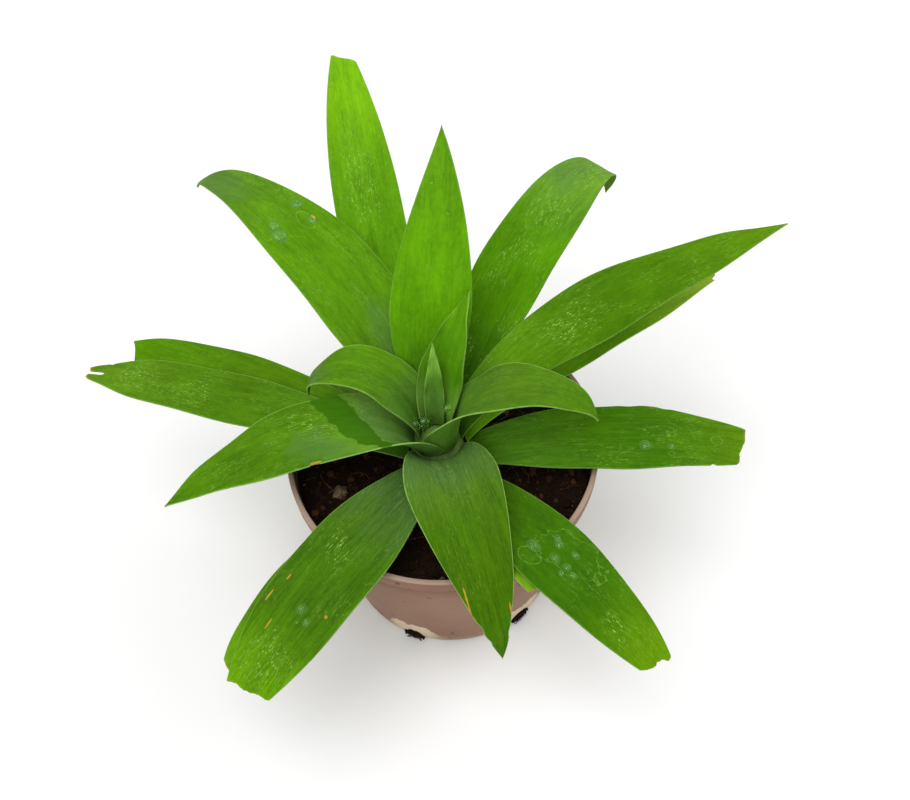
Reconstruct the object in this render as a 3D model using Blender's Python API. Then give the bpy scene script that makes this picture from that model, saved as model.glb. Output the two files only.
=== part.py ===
"""A rosette plant with soft strap leaves, growing in a small round nursery pot.

Dimensions are in millimetres and degrees. Meshes are made in metres.
The origin is the centre of the pot's flat underside, +Z is up and the front is at -Y.
Azimuths are counted from +X towards +Y.
"""

import bisect
import math
from collections import namedtuple

import bmesh
import bpy
from mathutils import Vector, noise

MM = 0.001

# Pieces that touch on the real plant are kept this far apart.
SEAT_GAP = 0.35

# Pot: a thin moulded tub that widens upwards to a plain band at its rim.
POT_HEIGHT = 88.0
POT_SIDES = 48
RIM_RADIUS = 60.0
RIM_THICKNESS = 2.0
RIM_ROUND = 0.6
BAND_HEIGHT = 6.5
BAND_STEP = 0.9
BAND_ROUND = 0.3
BAND_DRAFT = 0.25
FOOT_RADIUS = 44.5
FOOT_CHAMFER = 2.4
FOOT_ROUND = 0.8
INSIDE_STEP = 2.0
WALL = 1.6
FLOOR = 2.2

# Drain notches: small arches cut through the pot's bottom corner.
NOTCHES = 6
FIRST_NOTCH_AZIMUTH = -114.0
NOTCH_WIDTH = 8.5
NOTCH_HEIGHT = 5.5
NOTCH_SPRING = 1.5
NOTCH_INNER_RADIUS = 38.5
NOTCH_OUTER_RADIUS = 48.0
NOTCH_ARCH_STEPS = 6
CUTTER_OVERSHOOT = 2.0
# Soil and fine roots fill each notch and bulge out of it.
PLUG_OUTER_RADIUS = 45.6

# Soil: it fills the pot to a little below the rim and is slightly heaped.
SOIL_EDGE_HEIGHT = 79.0
SOIL_MIDDLE_HEIGHT = 80.0
SOIL_SIDES = 48
SOIL_RINGS = 5
SOIL_BUMP = 1.3
SOIL_BUMP_SIZE = 11.0
# The bumps keep clear of the stem's hole and of the pot's wall.
CALM_MIDDLE_RADIUS = 12.0
CALM_EDGE = 1.0

# Stem: a short core that the leaves sit around, standing in a plain hole in the soil.
PLANT_OFFSET = Vector((-2.0, 0.0, 0.0))
STEM_SIDES = 24
STEM_FOOT_HEIGHT = 60.0
STEM_PROFILE = (
    (9.6, STEM_FOOT_HEIGHT), (10.9, 79.0), (10.8, 83.0), (10.2, 86.0), (9.6, 88.0),
    (8.2, 90.0), (6.4, 92.0), (4.4, 94.0), (2.4, 96.0), (1.2, 97.0),
)
STEM_TIP = 0.5

# Leaf blades: thin straps, thickest along the middle.
BLADE_THICKNESS = 1.0
EDGE_THICKNESS = 0.65
BLADE_ACROSS = 6
BLADE_ALONG = 14
SPINE_STEPS = 60
TANGENT_STEP = 0.01
SWELL_POWER = 1.3
TIP_HALF_WIDTH = 0.5
# Faceted arcs cut inwards, so leaf bases stand a little further off the stem.
CLASP_GAP = 0.55
# How fast the clasping base flattens out along the leaf, as a share of its length.
CLASP_LENGTH = 0.25
# Gentle ripple of the margins, which fades out at the base and at the tip.
WAVE_HEIGHT = 0.7
WAVES = 3.0
WAVE_TURN = 21.0
MARGIN_SHIFT = 1.9
WAVE_START = 0.15
WAVE_FADE_IN = 0.3
WAVE_FADE_OUT = 0.15
# Cut ends aren't quite straight.
RAGGED = 0.008
RAGGED_WAVES = 5.0

BRIGHT = (0.17, 0.38, 0.012)
MID = (0.09, 0.23, 0.01)
DEEP = (0.05, 0.16, 0.008)
GREYISH = (0.12, 0.22, 0.045)
OLIVE = (0.11, 0.14, 0.02)

# azimuth, height: where the base sits on the stem; tip_...: where the full blade would end;
# rise, fall: slope at base and tip; heading: direction of the tip end seen from above;
# pull_...: how far the spine keeps to those slopes, as a share of the straight distance;
# widest: where along the blade; base_share: width of the base; taper: low is pointed, high is blunt;
# cut: share of the blade that is left; slant: how oblique the cut is; cup: arc of the outer blade.
Leaf = namedtuple("Leaf", (
    "name azimuth height tip_reach tip_azimuth tip_height rise fall heading pull_base pull_tip "
    "width widest base_share taper cut slant cup colour"))
LEAVES = (
    Leaf("leaf_back_tall", 111, 85, 140, 101.3, 178, 40, 40, 97, 0.30, 0.35,
         26.5, 0.46, 0.36, 2.6, 0.92, 0.012, 20, BRIGHT),
    Leaf("leaf_back_left_arched", 115, 89, 137, 131, 131, 62, -60, 142, 0.50, 0.25,
         33, 0.36, 0.35, 1.9, 1.0, 0.0, 15, MID),
    Leaf("leaf_back_centre", 97, 90.5, 51, 78.5, 200, 67, 70, 82, 0.35, 0.30,
         30, 0.42, 0.32, 1.6, 1.0, 0.0, 25, BRIGHT),
    Leaf("leaf_back_right_arched", 62.5, 87, 106, 47, 137, 45, -95, 38, 0.62, 0.38,
         28.5, 0.50, 0.36, 2.4, 1.0, 0.0, 12, MID),
    Leaf("leaf_right_long", 24, 90, 149, 22, 135, 64, 2, 19, 0.34, 0.30,
         27.5, 0.45, 0.40, 1.7, 1.0, 0.0, 20, MID),
    Leaf("leaf_right_under", 27, 85, 138, 26.4, 107, 50, 6, 22, 0.26, 0.30,
         20, 0.45, 0.50, 1.8, 0.92, 0.0, 20, DEEP),
    Leaf("leaf_right_cut", -12, 82, 136, -6.4, 81, 34, -22, -12, 0.22, 0.35,
         28, 0.36, 0.52, 2.6, 0.832, 0.02, 10, MID),
    Leaf("leaf_front_right_cut", -59, 85, 129, -50.6, 62, 23, -45, -46, 0.30, 0.35,
         27, 0.44, 0.32, 1.9, 0.85, 0.02, 10, MID),
    Leaf("leaf_front_pointed", -85, 88.7, 79, -76.5, 58, 67, -82, -74, 0.50, 0.54,
         35, 0.27, 0.60, 1.3, 1.0, 0.0, 15, GREYISH),
    Leaf("leaf_front_left_cut", -112, 85, 127, -130, 58, 40, -45, -125, 0.32, 0.35,
         31, 0.42, 0.40, 2.8, 0.855, -0.015, 10, GREYISH),
    Leaf("leaf_front_left_under", -112, 81, 113, -140, 52, 44, -55, -158, 0.30, 0.42,
         22, 0.48, 0.40, 2.6, 0.95, 0.0, 10, DEEP),
    Leaf("leaf_left_pointed", -160, 90.5, 105, -169.4, 87, 68, -35, -167, 0.5, 0.35,
         28.5, 0.4, 1.0, 1.6, 1.0, 0.0, 15, GREYISH),
    Leaf("leaf_left_cut", 166, 83, 143, 156.5, 91, 28, -10, 156, 0.20, 0.35,
         25, 0.42, 0.40, 3.0, 0.90, 0.0, 10, MID),
    Leaf("leaf_left_split", 187, 85, 148, 162, 91, 50, -15, 160, 0.18, 0.35,
         22, 0.5, 0.5, 3.2, 0.95, 0.0, 10, MID),
    Leaf("leaf_inner_left", 145, 93, 48.5, 165, 107, 80, -85, 172, 0.98, 0.58,
         21, 0.40, 0.60, 1.8, 1.0, 0.0, 25, MID),
    Leaf("leaf_inner_right", -28, 91.5, 60, -8, 107, 90, -75, -20, 0.92, 0.46,
         21.5, 0.38, 1.40, 1.8, 1.0, 0.0, 25, GREYISH),
    Leaf("leaf_heart_tall", 80, 94.5, 27, 54, 149, 84, 60, 45, 0.40, 0.30,
         18, 0.40, 0.9, 1.5, 1.0, 0.0, 50, BRIGHT),
    Leaf("leaf_heart_spear", 90, 96, 10, 82, 136, 89, 80, 90, 0.35, 0.30,
         10, 0.35, 1.2, 1.5, 1.0, 0.0, 60, GREYISH),
    Leaf("leaf_front_small", -56, 81, 74, -65.5, 87.8, 28, -12, -74, 0.15, 0.35,
         16, 0.40, 0.45, 2.6, 0.96, 0.0, 10, OLIVE),
    Leaf("leaf_old_left", 136, 81, 56, 148, 89, 30, 5, 152, 0.15, 0.35,
         20, 0.45, 0.45, 2.6, 0.90, 0.0, 10, OLIVE),
)


def clear_scene():
    for existing in list(bpy.data.objects):
        bpy.data.objects.remove(existing, do_unlink=True)


def add_material(name, colour, roughness):
    material = bpy.data.materials.new(name)
    material.use_nodes = True
    shader = material.node_tree.nodes["Principled BSDF"]
    shader.inputs["Base Color"].default_value = (*colour, 1.0)
    shader.inputs["Roughness"].default_value = roughness
    shader.inputs["Metallic"].default_value = 0.0
    return material


def add_object(name, mesh, parent=None, material=None):
    piece = bpy.data.objects.new(name, mesh)
    bpy.context.scene.collection.objects.link(piece)
    piece.parent = parent
    if material:
        mesh.materials.append(material)
    return piece


def add_cutter(name, mesh):
    cutter = add_object(name, mesh)
    cutter.hide_render = True
    cutter.display_type = "WIRE"
    return cutter


def boolean(piece, cutter, operation):
    step = piece.modifiers.new(cutter.name, "BOOLEAN")
    step.object = cutter
    step.operation = operation
    step.solver = "EXACT"


def mesh_from(bm, name, smooth_below=30.0):
    """Turns a closed bmesh in millimetres into a mesh in metres, facing outwards."""
    bmesh.ops.scale(bm, verts=bm.verts, vec=(MM, MM, MM))
    bmesh.ops.recalc_face_normals(bm, faces=bm.faces)
    mesh = bpy.data.meshes.new(name)
    bm.to_mesh(mesh)
    bm.free()
    mesh.shade_smooth()
    mesh.set_sharp_from_angle(angle=math.radians(smooth_below))
    return mesh


def turned(profile, sides):
    """Spins (radius, height) points about the Z axis. Points on the axis become one vertex."""
    bm = bmesh.new()
    points = [bm.verts.new((radius, 0.0, height)) for radius, height in profile]
    edges = [bm.edges.new(pair) for pair in zip(points, points[1:])]
    bmesh.ops.spin(bm, geom=points + edges, cent=(0, 0, 0), axis=(0, 0, 1),
                   angle=2 * math.pi, steps=sides, use_merge=True)
    bmesh.ops.remove_doubles(bm, verts=bm.verts, dist=1e-4)
    return bm


def wall_radius(height):
    """Outer radius of the pot's wall, below its band."""
    top = RIM_RADIUS - BAND_STEP
    return FOOT_RADIUS + (top - FOOT_RADIUS) * height / (POT_HEIGHT - BAND_HEIGHT)


def pot_profile():
    band_foot = POT_HEIGHT - BAND_HEIGHT
    inner_rim = RIM_RADIUS - RIM_THICKNESS
    return (
        (0.0, 0.0),
        (FOOT_RADIUS - FOOT_CHAMFER, 0.0),
        (FOOT_RADIUS - FOOT_ROUND, FOOT_ROUND),
        (wall_radius(FOOT_CHAMFER), FOOT_CHAMFER),
        (wall_radius(band_foot), band_foot),
        (RIM_RADIUS - BAND_DRAFT, band_foot + BAND_ROUND),
        (RIM_RADIUS, POT_HEIGHT - RIM_ROUND),
        (RIM_RADIUS - RIM_ROUND, POT_HEIGHT),
        (inner_rim + RIM_ROUND, POT_HEIGHT),
        (inner_rim, POT_HEIGHT - RIM_ROUND),
        (wall_radius(band_foot) - WALL, band_foot - INSIDE_STEP),
        (wall_radius(FLOOR) - WALL, FLOOR),
        (0.0, FLOOR),
    )


def arch_outline(bottom, inset):
    """An arch seen from outside: straight sides below a half ellipse, inset from the notch."""
    reach = NOTCH_WIDTH / 2 - inset
    rise = NOTCH_HEIGHT - NOTCH_SPRING - inset
    outline = [(-reach, bottom)]
    for step in range(NOTCH_ARCH_STEPS + 1):
        turn = math.pi * (1 - step / NOTCH_ARCH_STEPS)
        outline.append((math.cos(turn) * reach, NOTCH_SPRING + math.sin(turn) * rise))
    outline.append((reach, bottom))
    return outline


def arches(bottom, inset, inner, outer):
    """One radial arch-shaped prism at each drain notch."""
    bm = bmesh.new()
    for index in range(NOTCHES):
        turn = math.radians(FIRST_NOTCH_AZIMUTH + index * 360 / NOTCHES)
        out = Vector((math.cos(turn), math.sin(turn), 0.0))
        side = Vector((-out.y, out.x, 0.0))
        outline = [out * inner + side * x + Vector((0, 0, z)) for x, z in arch_outline(bottom, inset)]
        face = bm.faces.new([bm.verts.new(point) for point in outline])
        grown = bmesh.ops.extrude_face_region(bm, geom=[face])
        moved = [item for item in grown["geom"] if isinstance(item, bmesh.types.BMVert)]
        bmesh.ops.translate(bm, verts=moved, vec=out * (outer - inner))
    return bm


def build_pot():
    pot = add_object("pot", mesh_from(turned(pot_profile(), POT_SIDES), "pot"),
                     material=add_material("pot", (0.28, 0.20, 0.17), 0.42))
    notches = arches(-CUTTER_OVERSHOOT, 0.0, NOTCH_INNER_RADIUS, NOTCH_OUTER_RADIUS)
    boolean(pot, add_cutter("notch_cutter", mesh_from(notches, "notch_cutter")), "DIFFERENCE")
    return pot


def stem_radius(height):
    for (low_r, low_z), (high_r, high_z) in zip(STEM_PROFILE, STEM_PROFILE[1:]):
        if height <= high_z:
            return low_r + (high_r - low_r) * (height - low_z) / (high_z - low_z)
    return STEM_PROFILE[-1][0]


def soil_profile():
    """From the hole's floor outwards over the top and down the wall to the bottom."""
    hole = stem_radius(SOIL_MIDDLE_HEIGHT) + SEAT_GAP
    edge = wall_radius(SOIL_EDGE_HEIGHT) - WALL - SEAT_GAP
    foot = wall_radius(FLOOR) - WALL - SEAT_GAP
    profile = [(0.0, STEM_FOOT_HEIGHT - SEAT_GAP), (hole, STEM_FOOT_HEIGHT - SEAT_GAP)]
    for ring in range(SOIL_RINGS + 1):
        share = ring / SOIL_RINGS
        height = SOIL_MIDDLE_HEIGHT + (SOIL_EDGE_HEIGHT - SOIL_MIDDLE_HEIGHT) * share
        profile.append((hole + (edge - hole) * share, height))
    profile += [(foot, FLOOR + SEAT_GAP), (0.0, FLOOR + SEAT_GAP)]
    return profile


def build_soil():
    bm = turned(soil_profile(), SOIL_SIDES)
    edge = wall_radius(SOIL_EDGE_HEIGHT) - WALL - SEAT_GAP
    for vert in bm.verts:
        radius = Vector(vert.co[:2]).length
        if vert.co.z < STEM_FOOT_HEIGHT - 2 * SEAT_GAP:
            continue
        # The hole follows the stem, which stands slightly to one side; the outer edge stays round.
        vert.co += PLANT_OFFSET * min(1.0, max(0.0, (edge - radius) / (edge - CALM_MIDDLE_RADIUS)))
        bumpy = CALM_MIDDLE_RADIUS < radius < edge - CALM_EDGE
        if bumpy and vert.co.z > STEM_FOOT_HEIGHT:
            vert.co.z += SOIL_BUMP * noise.noise(vert.co / SOIL_BUMP_SIZE)
    soil = add_object("soil", mesh_from(bm, "soil"),
                      material=add_material("soil", (0.009, 0.005, 0.002), 0.9))
    plugs = arches(SEAT_GAP, 1.5 * SEAT_GAP, NOTCH_INNER_RADIUS + SEAT_GAP, PLUG_OUTER_RADIUS)
    boolean(soil, add_cutter("plug_shapes", mesh_from(plugs, "plug_shapes")), "UNION")
    return soil


def build_stem(parent):
    bottom = STEM_PROFILE[0][1]
    top = STEM_PROFILE[-1][1]
    profile = [(0.0, bottom), *STEM_PROFILE, (0.0, top + STEM_TIP)]
    return add_object("stem", mesh_from(turned(profile, STEM_SIDES), "stem"), parent,
                      add_material("stem", (0.10, 0.17, 0.03), 0.6))


def sloped(heading, slope):
    """Unit vector at a heading and a slope, both in degrees."""
    turn, tilt = math.radians(heading), math.radians(slope)
    return Vector((math.cos(tilt) * math.cos(turn), math.cos(tilt) * math.sin(turn), math.sin(tilt)))


def spine_of(leaf):
    """Points along the leaf as if its base faced +X, and the share of its length at each."""
    base = Vector((stem_radius(leaf.height) + CLASP_GAP + BLADE_THICKNESS / 2, 0.0, leaf.height))
    swing = math.radians(leaf.tip_azimuth - leaf.azimuth)
    tip = Vector((leaf.tip_reach * math.cos(swing), leaf.tip_reach * math.sin(swing), leaf.tip_height))
    chord = (tip - base).length
    knee = base + sloped(0.0, leaf.rise) * chord * leaf.pull_base
    hook = tip - sloped(leaf.heading - leaf.azimuth, leaf.fall) * chord * leaf.pull_tip

    def curve(t):
        s = 1 - t
        return base * s**3 + knee * 3 * s * s * t + hook * 3 * s * t * t + tip * t**3

    points = [curve(step / SPINE_STEPS) for step in range(SPINE_STEPS + 1)]
    lengths = [0.0]
    for before, after in zip(points, points[1:]):
        lengths.append(lengths[-1] + (after - before).length)
    return points, [length / lengths[-1] for length in lengths]


def spot(spine, share):
    """The spine's point at a share of the leaf's length."""
    points, shares = spine
    index = bisect.bisect_left(shares, share, 1, len(shares) - 1)
    part = (share - shares[index - 1]) / (shares[index] - shares[index - 1])
    return points[index - 1].lerp(points[index], part)


def along(spine, share):
    """Point and tangent at a share of the leaf's length."""
    before = spot(spine, max(share - TANGENT_STEP, 0.0))
    after = spot(spine, min(share + TANGENT_STEP, 1.0))
    return spot(spine, share), (after - before).normalized()


def half_width(leaf, share):
    if share < leaf.widest:
        swell = math.sin(share / leaf.widest * math.pi / 2) ** SWELL_POWER
        width = leaf.base_share + (1 - leaf.base_share) * swell
    else:
        width = 1 - ((share - leaf.widest) / (1 - leaf.widest)) ** leaf.taper
    return max(leaf.width / 2 * width, TIP_HALF_WIDTH)


def blade_point(leaf, spine, share, side):
    """A point of the blade's middle surface. side runs from -1 to 1 across it."""
    point, tangent = along(spine, share)
    turn = math.radians((leaf.heading - leaf.azimuth) * share)
    level = Vector((-math.sin(turn), math.cos(turn), 0.0))
    across = (level - tangent * level.dot(tangent)).normalized()
    up = tangent.cross(across)
    clasp = leaf.width * leaf.base_share / spine[0][0].x / 2
    cup = math.radians(leaf.cup) / 2
    arc = cup + (clasp - cup) * math.exp(-((share / CLASP_LENGTH) ** 2))
    radius = half_width(leaf, share) / arc
    lift = radius * (1 - math.cos(side * arc))
    fade_in = min(max((share - WAVE_START) / WAVE_FADE_IN, 0.0), 1.0)
    fade = fade_in * min(max((1 - share) / WAVE_FADE_OUT, 0.0), 1.0)
    phase = math.radians(leaf.azimuth) * WAVE_TURN + (MARGIN_SHIFT if side > 0 else 0.0)
    lift += WAVE_HEIGHT * fade * side * side * math.sin(2 * math.pi * WAVES * share + phase)
    return point + across * radius * math.sin(side * arc) + up * lift


def end_share(leaf, side):
    """Where the blade stops at this place across it."""
    if leaf.cut == 1.0:
        return 1.0
    rough = RAGGED * math.sin(RAGGED_WAVES * side + leaf.azimuth)
    return leaf.cut * (1 + leaf.slant * side) + rough


def build_leaf(leaf, parent):
    """A sheet of triangles, thickened so that it thins out towards its margins."""
    spine = spine_of(leaf)
    bm = bmesh.new()
    rows = []
    for row in range(BLADE_ALONG + 1):
        sides = [2 * column / BLADE_ACROSS - 1 for column in range(BLADE_ACROSS + 1)]
        rows.append([bm.verts.new(blade_point(leaf, spine, end_share(leaf, side) * row / BLADE_ALONG,
                                              side)) for side in sides])
    for near, far in zip(rows, rows[1:]):
        for column in range(BLADE_ACROSS):
            bm.faces.new((near[column], far[column], far[column + 1]))
            bm.faces.new((near[column], far[column + 1], near[column + 1]))
    blade = add_object(leaf.name, mesh_from(bm, leaf.name, 60.0), parent,
                       add_material(leaf.name, leaf.colour, 0.45))
    blade.rotation_euler.z = math.radians(leaf.azimuth)
    weights = blade.vertex_groups.new(name="thickness")
    for row in range(BLADE_ALONG + 1):
        for column in range(BLADE_ACROSS + 1):
            side = 2 * column / BLADE_ACROSS - 1
            weights.add([row * (BLADE_ACROSS + 1) + column], 1 - side * side, "REPLACE")
    solid = blade.modifiers.new("thickness", "SOLIDIFY")
    solid.thickness = BLADE_THICKNESS * MM
    solid.offset = 0.0
    solid.use_even_offset = False
    solid.vertex_group = weights.name
    solid.thickness_vertex_group = EDGE_THICKNESS / BLADE_THICKNESS
    return blade


def main():
    clear_scene()
    build_pot()
    build_soil()
    plant = add_object("plant", None)
    plant.location = PLANT_OFFSET * MM
    build_stem(plant)
    for leaf in LEAVES:
        build_leaf(leaf, plant)


main()
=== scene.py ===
"""Dresses the potted agave: soft strap leaves, stem, soil, pot and water drops, on a plain studio stage.

Sizes in the tables are in millimetres and degrees, and meshes are made in metres.
The origin is the centre of the pot's flat underside, +Z is up and the front is at -Y.
Azimuths are counted from +X towards +Y.
"""

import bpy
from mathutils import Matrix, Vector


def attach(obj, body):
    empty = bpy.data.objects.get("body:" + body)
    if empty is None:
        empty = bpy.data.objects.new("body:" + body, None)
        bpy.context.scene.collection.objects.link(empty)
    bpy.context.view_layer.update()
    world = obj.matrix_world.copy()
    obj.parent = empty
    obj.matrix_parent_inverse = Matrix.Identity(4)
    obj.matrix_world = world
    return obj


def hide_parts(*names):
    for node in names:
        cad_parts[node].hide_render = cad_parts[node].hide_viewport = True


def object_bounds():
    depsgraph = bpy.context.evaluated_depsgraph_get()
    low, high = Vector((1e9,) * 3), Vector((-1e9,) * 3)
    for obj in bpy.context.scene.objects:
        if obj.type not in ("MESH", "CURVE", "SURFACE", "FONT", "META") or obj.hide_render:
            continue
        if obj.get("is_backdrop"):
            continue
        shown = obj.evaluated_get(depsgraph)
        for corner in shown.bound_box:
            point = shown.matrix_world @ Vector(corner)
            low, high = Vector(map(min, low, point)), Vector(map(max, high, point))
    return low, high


bl_info = {
    "name": "Potted Agave",
    "version": (1, 0, 0),
    "blender": (4, 5, 0),
    "location": "View3D > Sidebar > Agave",
    "description": "Grows the fine leaves, stem, soil, pot and water drops of a potted agave",
    "category": "Add Mesh",
}

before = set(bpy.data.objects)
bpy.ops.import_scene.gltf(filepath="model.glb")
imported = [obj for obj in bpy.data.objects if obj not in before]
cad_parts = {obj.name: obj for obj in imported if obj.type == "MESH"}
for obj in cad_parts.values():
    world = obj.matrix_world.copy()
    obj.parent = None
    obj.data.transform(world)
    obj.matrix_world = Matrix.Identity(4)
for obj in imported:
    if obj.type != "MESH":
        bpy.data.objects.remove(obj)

import bisect
import math
import random
from collections import namedtuple

import bmesh
import bpy
from bpy.props import FloatProperty, FloatVectorProperty, IntProperty, PointerProperty
from bpy.types import Operator, Panel, PropertyGroup
from mathutils import Matrix, Vector, noise

CAD_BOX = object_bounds()
MM = 0.001
UP = Vector((0.0, 0.0, 1.0))

# Leaf blades. These values and the leaf rule below are the ones that the plain solids follow, except
# that leaf_left_cut ends a little straighter, leaf_heart_spear is slimmer, the end of leaf_left_split
# lies about 2 mm lower, is blunter and has its slit, and the margins are thinner by 0.15 mm.
PLANT_OFFSET = Vector((-2.0, 0.0, 0.0))
STEM_PROFILE = (
    (9.6, 60.0), (10.9, 79.0), (10.8, 83.0), (10.2, 86.0), (9.6, 88.0),
    (8.2, 90.0), (6.4, 92.0), (4.4, 94.0), (2.4, 96.0), (1.2, 97.0),
)
STEM_TIP = 0.5
STEM_STEP = 0.8
STEM_DENT = 0.12
BLADE_THICKNESS = 1.0
EDGE_THICKNESS = 0.5
SPINE_STEPS = 120
TANGENT_STEP = 0.01
SWELL_POWER = 1.3
TIP_HALF_WIDTH = 0.15
TORN_TIP_HALF_WIDTH = 3.7
CLASP_GAP = 0.55
CLASP_LENGTH = 0.25
WAVE_HEIGHT = 0.7
WAVES = 3.0
WAVE_TURN = 21.0
MARGIN_SHIFT = 1.9
WAVE_START = 0.15
WAVE_FADE_IN = 0.3
WAVE_FADE_OUT = 0.15
RAGGED = 0.008
RAGGED_WAVES = 5.0

# Finer grid and low relief of the dressed blades.
BLADE_ROWS = 110
BLADE_COLUMNS = 36
ROW_CROWDING = 1.2
BUCKLE_ACROSS = 11.0
BUCKLE_ALONG = 26.0
PLEAT_WIDTH = 4.6
PLEAT_WANDER = 34.0
RELIEF_FADE_IN = 0.16
RELIEF_FADE_OUT = 0.10
SLIT_GAP = 1.5
SLIT_START = 1.0
SLIT_WEIGHT = 0.3
TORN_STRETCH = 0.025
TORN_ROUND = 3.6
TORN_LOBES = 0.4
PLEAT_REACH = 60.0
WANDER_ACROSS = 9.0
FACING_STEP = 0.004
FACING_TURN = 0.02
END_CORNER = 0.6

Leaf = namedtuple("Leaf", (
    "name azimuth height tip_reach tip_azimuth tip_height rise fall heading pull_base pull_tip "
    "width widest base_share taper cut slant cup"))
LEAVES = (
    Leaf("leaf_back_tall", 111, 85, 140, 101.3, 178, 40, 40, 97, 0.30, 0.35,
         26.5, 0.46, 0.36, 2.6, 0.92, 0.012, 20),
    Leaf("leaf_back_left_arched", 115, 89, 137, 131, 131, 62, -60, 142, 0.50, 0.25,
         33, 0.36, 0.35, 1.9, 1.0, 0.0, 15),
    Leaf("leaf_back_centre", 97, 90.5, 51, 78.5, 200, 67, 70, 82, 0.35, 0.30,
         30, 0.42, 0.32, 1.6, 1.0, 0.0, 25),
    Leaf("leaf_back_right_arched", 62.5, 87, 106, 47, 137, 45, -95, 38, 0.62, 0.38,
         28.5, 0.50, 0.36, 2.4, 1.0, 0.0, 12),
    Leaf("leaf_right_long", 24, 90, 149, 22, 135, 64, 2, 19, 0.34, 0.30,
         27.5, 0.45, 0.40, 1.7, 1.0, 0.0, 20),
    Leaf("leaf_right_under", 27, 85, 138, 26.4, 107, 50, 6, 22, 0.26, 0.30,
         20, 0.45, 0.50, 1.8, 0.92, 0.0, 20),
    Leaf("leaf_right_cut", -12, 82, 136, -6.4, 81, 34, -22, -12, 0.22, 0.35,
         28, 0.36, 0.52, 2.6, 0.832, 0.02, 10),
    Leaf("leaf_front_right_cut", -59, 85, 129, -50.6, 62, 23, -45, -46, 0.30, 0.35,
         27, 0.44, 0.32, 1.9, 0.85, 0.02, 10),
    Leaf("leaf_front_pointed", -85, 88.7, 79, -76.5, 58, 67, -82, -74, 0.50, 0.54,
         35, 0.27, 0.60, 1.3, 1.0, 0.0, 15),
    Leaf("leaf_front_left_cut", -112, 85, 127, -130, 58, 40, -45, -125, 0.32, 0.35,
         31, 0.42, 0.40, 2.8, 0.855, -0.015, 10),
    Leaf("leaf_front_left_under", -112, 81, 113, -140, 52, 44, -55, -158, 0.30, 0.42,
         22, 0.48, 0.40, 2.6, 0.95, 0.0, 10),
    Leaf("leaf_left_pointed", -160, 90.5, 105, -169.4, 87, 68, -35, -167, 0.5, 0.35,
         28.5, 0.4, 1.0, 1.6, 1.0, 0.0, 15),
    Leaf("leaf_left_cut", 166, 83, 143, 156.5, 91, 28, -10, 156, 0.20, 0.35,
         25, 0.42, 0.40, 3.0, 0.910, -0.027, 10),
    Leaf("leaf_left_split", 187, 85, 148, 162.6, 90.5, 50, -15, 160, 0.18, 0.35,
         22, 0.5, 0.5, 3.2, 0.95, 0.0, 10),
    Leaf("leaf_inner_left", 145, 93, 48.5, 165, 107, 80, -85, 172, 0.98, 0.58,
         21, 0.40, 0.60, 1.8, 1.0, 0.0, 25),
    Leaf("leaf_inner_right", -28, 91.5, 60, -8, 107, 90, -75, -20, 0.92, 0.46,
         21.5, 0.38, 1.40, 1.8, 1.0, 0.0, 25),
    Leaf("leaf_heart_tall", 80, 94.5, 27, 54, 149, 84, 60, 45, 0.40, 0.30,
         18, 0.40, 0.9, 1.5, 1.0, 0.0, 50),
    Leaf("leaf_heart_spear", 90, 96, 10, 82, 136, 89, 80, 90, 0.35, 0.30,
         7.8, 0.40, 1.0, 1.5, 1.0, 0.0, 60),
    Leaf("leaf_front_small", -56, 81, 74, -65.5, 87.8, 28, -12, -74, 0.15, 0.35,
         16, 0.40, 0.45, 2.6, 0.96, 0.0, 10),
    Leaf("leaf_old_left", 136, 81, 56, 148, 89, 30, 5, 152, 0.15, 0.35,
         20, 0.45, 0.45, 2.6, 0.90, 0.0, 10),
)


def srgb(red, green, blue):
    """A colour given as screen values from 0 to 255, in the linear values that shaders use."""
    def linear(value):
        share = value / 255
        return share / 12.92 if share <= 0.04045 else ((share + 0.055) / 1.055) ** 2.4
    return (linear(red), linear(green), linear(blue))


LIGHT_GAIN = 1.15


def seen(red, green, blue):
    """A skin colour given as it looks on screen under this stage's light, which brightens it a little."""
    return tuple(part / LIGHT_GAIN for part in srgb(red, green, blue))


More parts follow.
